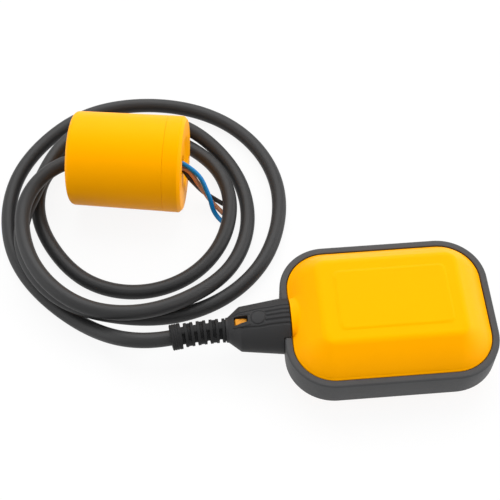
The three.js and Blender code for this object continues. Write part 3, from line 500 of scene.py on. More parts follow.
# %% A shell's profiles
# In mm: the two ends of the soft shoulder, the swell of the side along each axis with its radius,
# the width of the step up to the panel, and how far below the outer shoulder the inner one lies.
shoulder_from, shoulder_to = (0, -0.6), (0.9, 0.1)
side_swell, swell_radius, panel_step, inner_drop = 0.65, 60, 1.3, 1.2
outer_step, inner_step = 0.7, 3.0


def outer_profile(stations, height, foot, rise):
    """(inset, height) in mm from the dome's wall and the shoulder: the flange, the foot, the swelling
    side, the flat and, if the panel has a rise, the soft step up to it."""
    slope, end = stations[2, 0], stations[-1, 0]
    corners = [(-flange, foot), (-flange, -lip), (0, -lip), shoulder_from, shoulder_to,
               (0.5 * slope - side_swell, 0.5 * height + side_swell), (slope, height)]
    radii = [0, 0.4, 0.2, 0.35, 0.6, swell_radius, 6.0]
    if rise:
        edge = stations[3, 0]
        corners += [(edge - panel_step, height), (edge, height + rise)]
        radii += [3.0, 3.0]
    corners += [(end, height + rise)]
    radii += [0]
    return dense(rounded(corners, radii, steps=8), outer_step)


def inner_profile(inner, height, foot):
    """The same for the inside, from the last row out to the side and down to the foot."""
    under = height - wall
    corners = [(inner[2, 0], under), (inner[1, 0], under), (wall, -inner_drop), (wall, foot)]
    return dense(rounded(corners, [0, 2, 2, 0], steps=4), inner_step)


print("profiles: rows at most", outer_step, "mm apart outside and", inner_step, "mm inside")


# %% Shells
# In mm: how far in from the dome's wall the boss may rise.
dome_start = 0.1


def shell(name, seam, shoulder, flat, flat_half, flat_radius, panel=None):
    """A tray on its flange: the outer and the inner profile carried round the float's plan. From
    dome_start in, the boss joins the dome by a smooth maximum, (z + b + sqrt((z - b)^2 + f^2)) / 2."""
    sign = 1 if flat > seam else -1
    height, foot = abs(flat - shoulder), -abs(shoulder - seam)
    stations = shell_stations(flat_half, flat_radius, panel)
    line = outer_profile(stations, height, foot, panel["rise"] if panel else 0)
    x, y = plan_at(stations, line[:, 0])
    z = np.broadcast_to(line[:, 1:] * mm, x.shape)
    rise = boss_height(x, y)
    joined = 0.5 * (z + rise + np.hypot(z - rise, boss_fillet))
    on_dome = (line[:, :1] > dome_start) & (rise > 0)
    z = np.where(on_dome, np.maximum(z, joined), z)
    outside = np.stack([x, y, shoulder * mm + sign * z], axis=-1)
    inner = inner_stations(stations)
    line = inner_profile(inner, height, foot)
    x, y = plan_at(inner, line[:, 0])
    z = np.broadcast_to(shoulder * mm + sign * line[:, 1:] * mm, x.shape)
    return skin(name, np.concatenate([np.stack([x, y, z], axis=-1), outside]))


# In mm: half the gap between the flanges, the heights of the two flats and the panel on the upper.
half_seam = 0.15
float_height, float_foot = 41.5, 0.0
panel = {"half": (27.5, 16.0), "radius": 3.0, "rise": 0.4, "shift": 1.2}
upper = shell("float_top", seam_height + half_seam, band_high / mm, float_height, (35.5, 23.3), 4.8, panel)
lower = shell("float_bottom", seam_height - half_seam, band_low / mm, float_foot, (39.0, 26.0), 6.0)
print("shells:", len(upper.data.polygons), "and", len(lower.data.polygons), "faces")

# %% [markdown]
# The lower shell also carries the works on moulded posts with a spigot each, and on a saddle
# under the cord clamp. Nobody sees them in the closed float, but they hold the switch box up, so
# they are plain prisms. A cube with a bevel would do, but the helper also makes the cutters later.

# %% Posts and saddle
floor_inside, post_top, spigot_top, saddle_top = 2.3, 6.7, 8.7, 14.0
post_half, spigot_half = 3.0, 1.2
round_plan = plan_frame(corner=6, top=1, left=1, bottom=1, right=1)


def prism(name, centre, half, heights, radius):
    """A rounded rectangle drawn straight up between two heights, all in mm, with its edges eased."""
    ease = 0.2
    levels = np.array([heights[0], heights[0] + ease, heights[1] - ease, heights[1]])
    inset = np.array([ease, 0, 0, ease])
    x, y = outlines(round_plan, (half[0] - inset) * mm, (half[1] - inset) * mm, (radius - inset) * mm)
    z = np.broadcast_to(levels[:, None] * mm, x.shape)
    return skin(name, np.stack([x + centre[0] * mm, y + centre[1] * mm, z], axis=-1), sharp=40)


posts = []
for i, (x, y) in enumerate([(-24, 12), (-24, -12), (31, 12), (31, -12)], start=1):
    for name, half, heights in (("post", post_half, (floor_inside, post_top)),
                                ("post_spigot", spigot_half, (post_top - 0.2, spigot_top))):
        posts.append(prism(f"{name}_{i}", (x, y), (half, half), heights, half - 0.01))
posts.append(prism("clamp_saddle", (-36, 0), (3, 12), (floor_inside, saddle_top), 0.6))
print("inside:", len(posts), "mouldings")


# %% [markdown]
# ## The rim
#
# A soft dark band clamps the two shells: a channel in section, with a lip over each flange and
# edges rounded like all moulded rubber. It is the same plan again, this time with a closed
# profile, so the surface is a ring both ways. A notch in each lip takes the neck's tongue; it
# is a real cut, so a Boolean modifier makes it and is applied at once.


# %% Cuts
def carve(piece, cutters, sharp=32.0):
    """Subtracts the cutters from a piece, applies it and removes them."""
    for cutter in cutters:
        modifier = piece.modifiers.new("cut", "BOOLEAN")
        modifier.operation = "DIFFERENCE"
        modifier.solver = "EXACT"
        modifier.object = cutter
    evaluated = piece.evaluated_get(bpy.context.evaluated_depsgraph_get())
    mesh = bpy.data.meshes.new_from_object(evaluated)
    piece.modifiers.clear()
    piece.data = mesh
    mesh.polygons.foreach_set("use_smooth", np.ones(len(mesh.polygons), bool))
    mesh.set_sharp_from_angle(angle=math.radians(sharp))
    for cutter in cutters:
        bpy.data.objects.remove(cutter)


# %% Rim band
low, high = band_low / mm, band_high / mm
lip_reach, lip_thick, band_wall = 3.6, 2.4, 2.0
tongue_half, notch_play = 11.0, 0.3
rim_corners = [
    (0, low), (0, high), (lip_reach, high), (lip_reach, high - lip_thick), (band_wall, high - lip_thick),
    (band_wall, low + lip_thick), (lip_reach, low + lip_thick), (lip_reach, low),
]
rim_line = rounded(rim_corners, [1.4, 1.1, 0.45, 0.2, 0.3, 0.3, 0.2, 0.45], steps=6, closed=True)
rim_inset = rim_line[:, 0] * mm
rim_half_x, rim_half_y = (half - rim_inset for half in band_half)
rim_x, rim_y = outlines(float_plan, rim_half_x, rim_half_y, band_radius - rim_inset)
rim_z = np.broadcast_to(rim_line[:, 1:] * mm, rim_x.shape)
rim = skin("rim", np.stack([rim_x, rim_y, rim_z], axis=-1), ring=True)
notch_centre = (band_wall - band_half[0] / mm, 0)
notch_half = (2.6, tongue_half + notch_play)
notches = [
    prism("notch_top", notch_centre, notch_half, (high - lip_thick, high + 1), 0.3),
    prism("notch_bottom", notch_centre, notch_half, (low - 1, low + lip_thick), 0.3),
]
carve(rim, notches)
print("rim:", len(rim.data.polygons), "faces")

# %% [markdown]
# ## The neck
#
# The dark neck leads the cable in. Its section is an oval that narrows slowly to a waist, then
# quickly to the strain relief, and its wide end arches over the rim's lip. Three finger grooves
# run over its crown towards a small round pad, inside a fine engraved border, and a low bar
# stands on each side of the window. Sculpting could carve them, but here they are heights along
# the oval's normal. Each groove is a capsule: the distance to its centre line, put through a
# smooth step.


# %% Neck surface
def smooth(value, low, high):
    """0 below low, 1 above high, and 3t^2 - 2t^3 between; low may be the larger."""
    t = np.clip((value - low) / (high - low), 0, 1)
    return t * t * (3 - 2 * t)


neck_end, neck_waist, neck_from, neck_lip = -82.7, -75.5, -54.1, -50.4
neck_stations = [neck_end, neck_end + 1.2, neck_waist, neck_from, neck_lip]


def neck_profile(sizes):
    """Half the neck's width or height over x: the stations' values joined by lines, with soft corners."""
    return rounded(np.column_stack([neck_stations, sizes]), [0, 0.4, 1.4, 0.6, 0], steps=5)


neck_widths = neck_profile([6.3, 6.5, 11.9, 14.5, 14.5])
neck_heights = neck_profile([6.3, 6.5, 9.9, 13.5, 13.5])
print("neck: from", 2 * neck_widths[0, 1], "to", 2 * neck_widths[-1, 1], "mm wide")

# %% The neck's crown
# In mm: where the lines of the crown run, along X and Y.
groove_start, groove_slant, groove_pitch = -61.6, 0.25, 2.6
border_x = [-79.0, -77.5, -72.0, -66.0, -60.0]
border_y = [4.2, 4.9, 5.4, 5.7, 5.2]
border_from, border_full, waist_fan = -79.6, -78.6, 0.82
pad_x, pad_radius, pad_edge, ring_gap = -66.3, 3.6, 0.4, 0.15
bar_start, bar_end = (-75.4, 3.7), (-70.6, 2.9)
# How far each line reaches from its centre, how far it is full, and its full depth or height.
groove_line, border_line, pad_ring_line = (1.05, 0.1, 0.65), (0.8, 0.15, 0.5), (0.5, 0.1, 0.3)
bar_line, pad_height = (0.6, 0.3, 0.35), 0.18


def soft_line(distance, reach, full, size):
    """Depth or height of a line with soft sides: size within full of its centre, 0 beyond reach."""
    return size * smooth(distance, reach, full)


def crown_grooves(x, y):
    """Depth of the grooves and the border. Each groove is a half capsule about its lane, a multiple
    of the pitch; the lanes fan out from waist_fan of their places at the waist to the whole."""
    across = y / np.interp(x, [neck_waist, neck_from], [waist_fan, 1.0])
    lane = groove_pitch * np.clip(np.round(across / groove_pitch), -1, 1)
    before = np.maximum(groove_start - x - groove_slant * np.abs(across), 0)
    groove = soft_line(np.hypot(before, across - lane), *groove_line)
    border = soft_line(np.abs(np.abs(across) - np.interp(x, border_x, border_y)), *border_line)
    return groove + border * smooth(x, border_from, border_full)


def crown_relief(x, y):
    """Height on the crown: a round pad in a fine ring and a bar on each side, each a smooth step of
    the distance to its centre or centre line, less the grooves."""
    from_pad = np.hypot(x - pad_x, y)
    pad = soft_line(from_pad, pad_radius, pad_radius - pad_edge, pad_height)
    pad_ring = soft_line(np.abs(from_pad - pad_radius - ring_gap), *pad_ring_line)
    run, fall = bar_end[0] - bar_start[0], bar_end[1] - bar_start[1]
    along = np.clip((x - bar_start[0]) / run, 0, 1)
    from_bar = np.hypot(x - bar_start[0] - along * run, np.abs(y) - bar_start[1] - along * fall)
    return pad - pad_ring + soft_line(from_bar, *bar_line) - crown_grooves(x, y)


print("crown: the pad stands", round(float(crown_relief(pad_x, 0.0)), 2), "mm proud")

# %% The neck's skin
# The columns are close together on the crown, where the detail is, and wide apart elsewhere.
crown_columns, other_columns, neck_rows = 150, 72, 170
crown = np.linspace(math.radians(52), math.radians(128), crown_columns)
rest_of_turn = np.linspace(crown[-1], crown[0] + 2 * math.pi, other_columns)[1:-1]
neck_turn = np.concatenate([crown, rest_of_turn])
neck_x = np.unique(np.concatenate([np.linspace(neck_end, neck_lip, neck_rows), neck_widths[:, 0]]))[:, None]
half_width = np.interp(neck_x, *neck_widths.T)
half_height = np.interp(neck_x, *neck_heights.T)
neck_y = half_width * np.cos(neck_turn)
neck_z = half_height * np.sin(neck_turn)
neck_x = np.broadcast_to(neck_x, neck_y.shape)
normal_y, normal_z = neck_y / half_width**2, neck_z / half_height**2
rise = np.where(neck_z > 0, crown_relief(neck_x, neck_y), 0) / np.hypot(normal_y, normal_z)
neck_grid = np.stack([neck_x, neck_y + normal_y * rise, neck_z + normal_z * rise + seam_height], axis=-1)
neck = skin("neck", neck_grid * mm, sharp=50)
print("neck:", len(neck.data.polygons), "faces before it is cut")

# %% The neck's window, bore and room for the band
# In mm: the window's heights, the bore's radius and how far its cutter stands out at each end, and
# the room for the band, half its size along X and Y and the play above and below.
window_low, window_high = 19.5, 36.0
neck_bore, bore_before, bore_after = 5.6, 1.3, 1.4
room_half, room_play = (3.0, 17), 0.3
window_corners = [(-71.5, -1.4), (-71.5, 2.2), (-78.5, 2.6), (-78.5, -2.5)]
window_outline = rounded(window_corners, [0.6] * 4, closed=True)
window_rows = np.zeros((2, len(window_outline), 3))
window_rows[:, :, :2] = window_outline
window_rows[:, :, 2] = [[window_low], [window_high]]
window = skin("window", window_rows * mm)
bore_x = np.linspace(neck_end - bore_before, neck_lip + bore_after, 12)
bore_line = np.array([[x, 0, seam_height] for x in bore_x])
bore = tube("bore", bore_line * mm, neck_bore * mm, around=32)
room_centre, room_heights = (neck_from + room_half[0], 0), (low - room_play, high + room_play)
room = prism("band_room", room_centre, room_half, room_heights, 0.25)
carve(neck, [window, bore, room], sharp=50)
print("neck:", len(neck.data.polygons), "faces")

# %% [markdown]
# A flat tongue under the crown, and its twin below, fill the notches in the rim's lips and key
# the neck to the band. Each is a rounded rectangle drawn along X, so it takes one outline for
# all its rows.

# %% Tongues
tongue_half_thick, tongue_depth = 1.25, 0.95
tongue_plan = plan_frame(corner=3, top=10, left=2, bottom=10, right=2)
tongue_x = np.linspace(neck_from - 0.6, neck_lip, 8)
tongues = []
for name, middle in (("tongue_top", high - tongue_depth), ("tongue_bottom", low + tongue_depth)):
    alike = np.ones(len(tongue_x))
    y, z = outlines(tongue_plan, tongue_half * alike, tongue_half_thick * alike, 0.2 * alike)
    x = np.broadcast_to(tongue_x[:, None], y.shape)
    tongues.append(skin(name, np.stack([x, y, z + middle], axis=-1) * mm, sharp=50))
print("tongues:", [t.name for t in tongues])

# %% [markdown]
# Through the window shows the yellow latch of the inner entry tube, a small wedge that snaps
# up into the neck. The tube itself is turned: a profile of stations and radii about the axis.
# The Screw modifier turns a profile too, but only about an object's own axis, and the
# counterweight lies at a slant, so this helper takes any axis.


# %% Turned pieces
def turned(name, line, centre, along, across, columns):
    """A closed profile of (station, radius) turned about an axis:
    centre + s along + r (cos a across + sin a Z)."""
    line = np.asarray(line) * mm
    turn = np.linspace(0, 2 * math.pi, columns, endpoint=False)
    ring = np.cos(turn)[:, None] * across + np.sin(turn)[:, None] * np.array([0, 0, 1.0])
    grid = centre + line[:, :1, None] * along + line[:, 1:, None] * ring[None]
    return skin(name, grid, ring=True)


x_axis, y_axis = np.array([1.0, 0, 0]), np.array([0, 1.0, 0])
cable_line = np.array([0, 0, seam_height * mm])
entry_bore, entry_radius, entry_flange = 4.35, 5.3, 6.2
entry_corners = [(-81.1, entry_bore), (-81.1, entry_radius), (-47.1, entry_radius), (-47.1, entry_flange),
                 (-44.7, entry_flange), (-44.7, entry_bore)]
entry_profile = rounded(entry_corners, [0.2, 0.3, 0.2, 0.3, 0.3, 0.2], closed=True, steps=3)
entry = turned("entry_tube", entry_profile, cable_line, x_axis, y_axis, columns=64)
print("entry tube:", 2 * entry_radius, "mm across")

# %% Latch
# Over the share t of its length it narrows, drifts and climbs; its ends are eased by
# e (1 - sqrt(1 - |2t - 1|^7)).
latch_from, latch_to, latch_middle = -78.0, -71.9, 5.8
latch_half_wide, latch_half_high = 2.1, 2.0
latch_narrows, latch_drift, latch_climb, latch_edge = 0.7, 0.25, 0.2, 0.6
latch_x = np.linspace(latch_from, latch_to, 28)
latch_share = (latch_x - latch_from) / (latch_to - latch_from)
latch_ease = latch_edge * (1 - np.sqrt(np.clip(1 - np.abs(2 * latch_share - 1) ** 7, 0, 1)))
latch_plan = plan_frame(corner=5, top=8, left=3, bottom=2, right=3)
latch_wide = latch_half_wide - latch_narrows * latch_share - latch_ease
latch_high = latch_half_high - latch_ease
latch_y, latch_z = outlines(latch_plan, latch_wide, latch_high, np.full(len(latch_x), 0.5))
latch_y += latch_drift * latch_share[:, None]
latch_z += seam_height + latch_middle + latch_climb * latch_share[:, None]
latch_grid = np.stack([np.broadcast_to(latch_x[:, None], latch_y.shape), latch_y, latch_z], axis=-1)
latch = skin("latch", latch_grid * mm, sharp=45)
print("latch top at", round(float(latch_z.max()), 2), "mm")

# %% [markdown]
# ## The strain relief
#
# The relief bends because slots are cut into it, by turns from above and below and from the two
# sides. An array of cut rings could make it, but it would meet the bend as separate blocks. So
# its surface is a radius that depends on the run and on the angle: full over each ring, nearly
# full over the bridges that join two rings, and down at the core tube in the slots. The grid is
# then bent along the relief's own arc.

# %% Strain relief
collar, ring_count, ring_width = 5.5, 7, 1.7
tube_radius, ring_radius, collar_radius, bridge_share = 4.5, 6.2, 6.7, 0.86
collar_grooves, collar_groove_line, collar_ease = (1.2, 2.4, 3.6), (0.4, 0.1, 0.18), 0.7
slot_edges, bridge_edges, collar_edge, root_share = (0.1, -0.16), (0.9, 0.96), 0.12, 0.6
ring_pitch = (relief_length - collar) / ring_count


def relief_radius(run, turn):
    """Radius over the run and the angle: the tube, plus a share of the rings' height that is 1 on a
    ring and bridge_share on a bridge; then the collar, with fine grooves and a quarter-round edge."""
    lift = np.zeros_like(run)
    for i in range(ring_count):
        ring = np.abs(run - i * ring_pitch - ring_width / 2) - ring_width / 2
        lift = np.maximum(lift, smooth(ring, *slot_edges))
        between = (run >= i * ring_pitch + ring_width / 2) & (run <= (i + 1) * ring_pitch + ring_width / 2)
        facing = np.abs(np.sin(turn)) if i % 2 == 0 else np.abs(np.cos(turn))
        lift = np.maximum(lift, bridge_share * smooth(facing, *bridge_edges) * between)
    radius = tube_radius + (ring_radius - tube_radius) * np.where(run < 0, root_share, lift)
    mouth = relief_length - run
    in_collar = smooth(mouth, collar + collar_edge, collar - collar_edge)
    groove = sum(soft_line(np.abs(mouth - at), *collar_groove_line) for at in collar_grooves)
    beyond = np.clip(1 - mouth / collar_ease, 0, 1)
    eased = collar_ease * (1 - np.sqrt(1 - beyond**2))
    return radius + (collar_radius - groove - eased - radius) * in_collar


relief_from, relief_bore, bore_flare, flare_length = -0.35, 4.35, 0.4, 0.6
relief_turn = np.linspace(0, 2 * math.pi, 128, endpoint=False)
runs, turns = np.meshgrid(np.linspace(relief_from, relief_length, 300), relief_turn, indexing="ij")
bore_runs, bore_turns = np.meshgrid(np.linspace(relief_length, relief_from, 12), relief_turn, indexing="ij")
bore_radii = relief_bore + bore_flare * smooth(bore_runs, relief_length - flare_length, relief_length)
radii = np.concatenate([relief_radius(runs, turns), bore_radii])
runs, turns = np.concatenate([runs, bore_runs]), np.concatenate([turns, bore_turns])
relief_grid = on_relief(runs, radii * np.cos(turns), radii * np.sin(turns))
relief = skin("strain_relief_rings", relief_grid * mm, ring=True, sharp=60)
print("relief:", ring_count, "rings over", relief_length, "mm")

# %% [markdown]
# ## The counterweight
#
# A turned pot in yellow plastic over an iron ring. The cable enters through a flared mouth; at
# the other end a cap closes it, with a fine parting line and a shallow dish in its face. Both
# are turned from closed profiles about the same axis, and widen a little towards the cap,
# because a moulded pot needs draft to leave its mould.

# %% The pot
weight_half, weight_radius = 31.0, weight_middle[2] / mm
weight_draft = 0.7
pot_end, pot_bore, weight_columns = 21.15, 23.4, 160


def weight_outside(station):
    """Radius at a station: it falls evenly by the draft from the cap's face to the mouth."""
    return weight_radius - weight_draft * (weight_half - station) / (2 * weight_half)


pot_corners = [
    (-weight_half, 12.1), (-weight_half, weight_outside(-weight_half)), (pot_end, weight_outside(pot_end)),
    (pot_end, pot_bore), (-28, pot_bore), (-28, 13.3), (-14, 9.0), (9.6, 8.4), (9.6, 6.4), (-8, 6.4),
    (-8, 4.85), (-14, 5.95),
]
pot_radii = [1.0, 2.8, 0.12, 0.2, 0.5, 0.5, 1, 0.3, 0.2, 0.2, 0.3, 1]
pot_profile = rounded(pot_corners, pot_radii, steps=8, closed=True)
pot = turned("weight_pot", pot_profile, weight_middle, weight_along, weight_across, weight_columns)
print("counterweight:", round(2 * weight_radius, 1), "mm across")

# %% The cap
# The face keeps a flat rim outside the dish. The skirt behind it plugs the pot.
cap_start, cap_chamfer = 21.2, 1.8
dish_floor, cap_hole = 29.7, 5.0
skirt_start, skirt_inside, skirt_outside = 18, 20.1, 23.1
cap_corners = [
    (cap_start, weight_radius - 0.04), (weight_half - cap_chamfer, weight_radius),
    (weight_half, weight_radius - cap_chamfer), (weight_half, 15.5), (dish_floor, 12.5),
    (dish_floor, cap_hole), (cap_start, cap_hole), (cap_start, skirt_inside),
    (skirt_start, skirt_inside), (skirt_start, skirt_outside), (cap_start, skirt_outside),
]
cap_radii = [0.2, 1.1, 1.1, 2.0, 1.5, 0.4, 0.3, 0.2, 0.3, 0.3, 0.1]
cap_profile = rounded(cap_corners, cap_radii, steps=8, closed=True)
cap = turned("weight_face", cap_profile, weight_middle, weight_along, weight_across, weight_columns)
print("cap: its dish is", round(weight_half - dish_floor, 1), "mm deep")


# %% [markdown]
# ## Materials
#
# Moulded parts are never one flat colour. The helper builds a Principled shader whose colour
# drifts a little over centimetres, whose roughness varies with a finer pattern, and whose bump
# is the spark-eroded grain of a mould. Scanned textures could do this, but noise costs no files
# and has no seams. The patterns read Object coordinates, or on the cable its own "lay"
# attribute, so that they stay on the piece when it moves.


# %% Material helper
drift_size, roughness_spread, grain_height = 18, 0.06, 0.1 * mm


def finish(name, colour, roughness, grain, bump, drift=0.06, metal=0.0, specular=0.5, tint=(1, 1, 1),
           lay=False, stretch=(1, 1, 1)):
    """A Principled shader: colour = base (1 +- drift) by a coarse noise, roughness +- its spread by
    a noise six times the grain, and a bump by a noise of the grain's size in mm."""
    material = bpy.data.materials.new(name)
    material.use_nodes = True
    tree = material.node_tree
    shader = tree.nodes["Principled BSDF"]
    shader.inputs["Metallic"].default_value = metal
    shader.inputs["Specular IOR Level"].default_value = specular
    shader.inputs["Specular Tint"].default_value = (*tint, 1)
    if lay:
        source = tree.nodes.new("ShaderNodeAttribute")
        source.attribute_name = "lay"
        place = source.outputs["Vector"]
    else:
        place = tree.nodes.new("ShaderNodeTexCoord").outputs["Object"]
    mapping = tree.nodes.new("ShaderNodeMapping")
    mapping.inputs["Scale"].default_value = stretch
    tree.links.new(place, mapping.inputs["Vector"])

    def noise(size_mm, detail):
        node = tree.nodes.new("ShaderNodeTexNoise")
        node.inputs["Scale"].default_value = 1 / (size_mm * mm)
        node.inputs["Detail"].default_value = detail
        tree.links.new(mapping.outputs["Vector"], node.inputs["Vector"])
        return node.outputs["Fac"]

    mix = tree.nodes.new("ShaderNodeMix")
    mix.data_type = "RGBA"
    mix.inputs["A"].default_value = (*[min(1, c * (1 - drift)) for c in colour], 1)
    mix.inputs["B"].default_value = (*[min(1, c * (1 + drift)) for c in colour], 1)
    tree.links.new(noise(drift_size, 2), mix.inputs["Factor"])
    tree.links.new(mix.outputs["Result"], shader.inputs["Base Color"])
    spread = tree.nodes.new("ShaderNodeMapRange")
    spread.inputs["To Min"].default_value = roughness - roughness_spread
    spread.inputs["To Max"].default_value = roughness + roughness_spread
    tree.links.new(noise(grain * 6, 3), spread.inputs["Value"])
    tree.links.new(spread.outputs["Result"], shader.inputs["Roughness"])
    surface = tree.nodes.new("ShaderNodeBump")
    surface.inputs["Strength"].default_value = bump
    surface.inputs["Distance"].default_value = grain_height
    tree.links.new(noise(grain, 4), surface.inputs["Height"])
    tree.links.new(surface.outputs["Normal"], shader.inputs["Normal"])
    return material


print("finishes: the colour drifts over", drift_size, "mm")


# %% [markdown]
# The float's plastic is a satin, deep yellow. Its highlight keeps the yellow, by a tinted and
# weak specular, because a white one would wash the flat angles out. The rim, the neck and the
# relief are dark rubber in three shades, since each is moulded by itself. The cable's jacket has
# grain drawn out along its run, as an extruded skin has.

# %% Outside finishes
yellow = finish("yellow_moulding", (1.0, 0.395, 0.0), 0.47, grain=0.4, bump=0.4, drift=0.02, specular=0.12,
                tint=(1.0, 0.5, 0.0))
# The entry tube and its latch take a darker, more orange copy of the yellow. This is painted shade, because
# the latch sits down in the neck's window.
entry_shaded_yellow = finish("entry_moulding_painted_shade", (0.70, 0.28, 0.02), 0.48, grain=0.4, bump=0.4, drift=0.02,
                      specular=0.14)
dark = finish("dark_rubber", (0.053, 0.0535, 0.055), 0.5, grain=0.35, bump=0.8, drift=0.1, specular=0.18)
neck_dark = finish("neck_moulding", (0.028, 0.028, 0.029), 0.5, grain=0.35, bump=0.8, drift=0.1,
                   specular=0.14)
relief_dark = finish("relief_rubber", (0.021, 0.021, 0.0215), 0.5, grain=0.35, bump=0.6, drift=0.1,
                     specular=0.06)
jacket = finish("cable_rubber", (0.025, 0.025, 0.0255), 0.45, grain=0.5, bump=0.9, drift=0.12, specular=0.22,
                lay=True, stretch=(1, 1, 0.06))
core_finish = {
    "blue": finish("core_blue", (0.0, 0.17, 0.45), 0.42, grain=0.4, bump=0.12, specular=0.25),
    "brown": finish("core_brown", (0.50, 0.22, 0.11), 0.45, grain=0.4, bump=0.12, specular=0.3),
    "black": finish("core_black", (0.03, 0.026, 0.024), 0.45, grain=0.4, bump=0.12, specular=0.25),
}
print("outside finishes:", len(bpy.data.materials))

# %% [markdown]
# Inside the closed float are a white switch box, a black switch and small pieces of steel and
# brass, and inside the counterweight is an iron ballast. Only an opened model shows them, so
# plain plastics and metals with a little grain do.

# %% Inside finishes
white = finish("white_plastic", (0.68, 0.68, 0.64), 0.5, grain=0.5, bump=0.15)
black = finish("black_plastic", (0.03, 0.03, 0.032), 0.45, grain=0.4, bump=0.2)
steel = finish("bright_steel", (0.52, 0.52, 0.54), 0.3, grain=0.3, bump=0.08, metal=1.0)
iron = finish("cast_iron", (0.15, 0.15, 0.145), 0.7, grain=1.2, bump=0.6, metal=0.8)
brass = finish("brass", (0.58, 0.38, 0.1), 0.35, grain=0.3, bump=0.08, metal=1.0)
copper = finish("copper", (0.62, 0.27, 0.12), 0.35, grain=0.2, bump=0.1, metal=1.0)
print("finishes in all:", len(bpy.data.materials))

# %% [markdown]
# ## Putting it together
#
# Each new piece rides on the body that it belongs to, and takes the place of the plain solid
# it was made from. The works inside the closed float keep their solids, which have the right
# shape already, and get the finish of their slot.


# %% Pieces
def dress(piece, body, material, slot, *replaced):
    """Gives a piece its body and finish, and hides the solids that it stands for. The slot is not used."""
    piece.data.materials.clear()
    piece.data.materials.append(material)
    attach(piece, body)
    if replaced:
        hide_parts(*replaced)


dress(upper, "float", yellow, "yellow_plastic", "upper_shell")
dress(lower, "float", yellow, "yellow_plastic", "lower_shell")
for piece in posts:
    dress(piece, "float", yellow, "yellow_plastic")
dress(rim, "float", dark, "dark_rubber", "rim_band")
dress(neck, "float", neck_dark, "dark_rubber", "neck_sleeve")
for piece in tongues:
    dress(piece, "float", neck_dark, "dark_rubber")
dress(entry, "float", entry_shaded_yellow, "yellow_plastic", "cable_entry")
dress(latch, "float", entry_shaded_yellow, "yellow_plastic")
dress(relief, "float", relief_dark, "dark_rubber", "strain_relief")
dress(pot, "counterweight", yellow, "yellow_plastic", "weight_shell")
dress(cap, "counterweight", yellow, "yellow_plastic", "weight_cap")
dress(cable, "float", jacket, "cable_jacket", "cable")
for colour in cores:
    dress(cores[colour], "float", core_finish[colour], f"core_{colour}", f"tail_core_{colour}")
    dress(copper_ends[colour], "float", copper, "copper", f"tail_copper_{colour}")

# %% [markdown]
# The solids that no new piece stands for stay in use: the works inside the float, and the
# ballast and its collet. Their shapes and places come with the engineering model and are left
# alone. One loop over the part's own record gives every solid the finish of its slot.

# %% Solids that stay
slot_finish = {
    "yellow_plastic": yellow, "dark_rubber": dark, "cable_jacket": jacket, "white_plastic": white,
    "black_plastic": black, "steel": steel, "ballast_iron": iron, "brass": brass, "copper": copper,
    "core_blue": core_finish["blue"], "core_brown": core_finish["brown"], "core_black": core_finish["black"],
}
for part in frame["record"]["subparts"]:
    solid = nodes[part["node"]]
    solid.data.materials.clear()
    solid.data.materials.append(slot_finish[part["material_slot"]])

# %% [markdown]
# The cable and its three bare cores are the soft parts. The length of each is worked out
# along its route.

# %% Cords
cable_length = float(run_of(cable_path)[-1])
for colour, path in core_paths.items():
    core_length = float(run_of(path)[-1])
print("cords:", round(cable_length, 3), "m of cable and three cores")

# %% [markdown]
# ## Floor and light
#
# A white sweep and soft daylight: the world gives an even light from all round, and three broad
# suns shape the slopes, the strongest from behind and above, one low on the right and a weak
# one low on the left. Area lamps could do it too, but their light falls off with distance, and
# suns light every part of the cable alike. The floor shows nearly white to the camera through
# the light path, and still takes the object's shadow.


# %% Rays that see the backdrop
def seen_rays(tree):
    """1 for a camera, glossy or transmission ray and 0 for the others, so that a shiny piece mirrors
    the white too: the largest of the three sockets."""
    rays = tree.nodes.new("ShaderNodeLightPath")
    total = rays.outputs["Is Camera Ray"]
    for kind in ("Is Glossy Ray", "Is Transmission Ray"):
        larger = tree.nodes.new("ShaderNodeMath")
        larger.operation = "MAXIMUM"
        tree.links.new(total, larger.inputs[0])
        tree.links.new(rays.outputs[kind], larger.inputs[1])
        total = larger.outputs[0]
    return total


print("backdrop rays: camera, glossy and transmission")

# %% Floor
floor_half, floor_level = 3.0, -0.02 * mm
floor_white, white_share = 0.86, 0.9


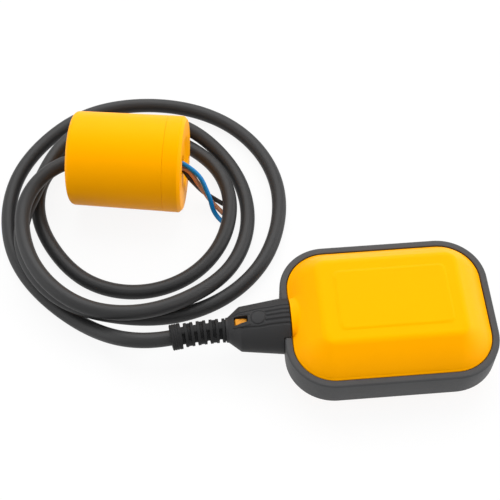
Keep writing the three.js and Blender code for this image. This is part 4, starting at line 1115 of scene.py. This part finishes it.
def add_floor():
    """A wide plane just under the object: diffuse, but mostly a plain white where a seen ray meets it."""
    mesh = bpy.data.meshes.new("floor")
    corners = [(x * floor_half, y * floor_half, floor_level) for x, y in ((-1, -1), (1, -1), (1, 1), (-1, 1))]
    mesh.from_pydata(corners, [], [(0, 1, 2, 3)])
    floor = bpy.data.objects.new("floor", mesh)
    scene.collection.objects.link(floor)
    material = bpy.data.materials.new("floor_white")
    material.use_nodes = True
    tree = material.node_tree
    shader = tree.nodes["Principled BSDF"]
    shader.inputs["Base Color"].default_value = (floor_white, floor_white, floor_white, 1)
    shader.inputs["Roughness"].default_value = 0.9
    shader.inputs["Specular IOR Level"].default_value = 0.0
    glow = tree.nodes.new("ShaderNodeEmission")
    glow.inputs["Strength"].default_value = 1.0
    share = tree.nodes.new("ShaderNodeMath")
    share.operation = "MULTIPLY"
    share.inputs[1].default_value = white_share
    mix = tree.nodes.new("ShaderNodeMixShader")
    tree.links.new(seen_rays(tree), share.inputs[0])
    tree.links.new(share.outputs[0], mix.inputs["Fac"])
    tree.links.new(shader.outputs["BSDF"], mix.inputs[1])
    tree.links.new(glow.outputs["Emission"], mix.inputs[2])
    tree.links.new(mix.outputs["Shader"], tree.nodes["Material Output"].inputs["Surface"])
    mesh.materials.append(material)


add_floor()
print("floor:", 2 * floor_half, "m wide")

# %% World
sky_light, sky_seen = 0.54, 1.0
world = bpy.data.worlds.new("studio")
scene.world = world
world.use_nodes = True
tree = world.node_tree
sky = tree.nodes["Background"]
sky.inputs["Color"].default_value = (1, 1, 1, 1)
level = tree.nodes.new("ShaderNodeMapRange")
level.inputs["To Min"].default_value = sky_light
level.inputs["To Max"].default_value = sky_seen
tree.links.new(seen_rays(tree), level.inputs["Value"])
tree.links.new(level.outputs["Result"], sky.inputs["Strength"])
print("world:", sky_light, "as a light and", sky_seen, "where it is seen")

# %% Suns
# Each has a strength and the direction from the object towards it.
sun_width = math.radians(60)
suns = {
    "sun_back": (2.4, (0.03, 0.6, 0.8)),
    "sun_right": (1.8, (0.95, 0.0, 0.32)),
    "sun_left": (0.9, (-0.95, 0.0, 0.32)),
}
for name, (energy, towards) in suns.items():
    lamp = bpy.data.lights.new(name, "SUN")
    lamp.energy = energy
    lamp.angle = sun_width
    sun = bpy.data.objects.new(name, lamp)
    sun.rotation_euler = (-Vector(towards)).to_track_quat("-Z", "Y").to_euler()
    scene.collection.objects.link(sun)
scene.view_settings.view_transform = "Standard"
print("suns:", len(suns))
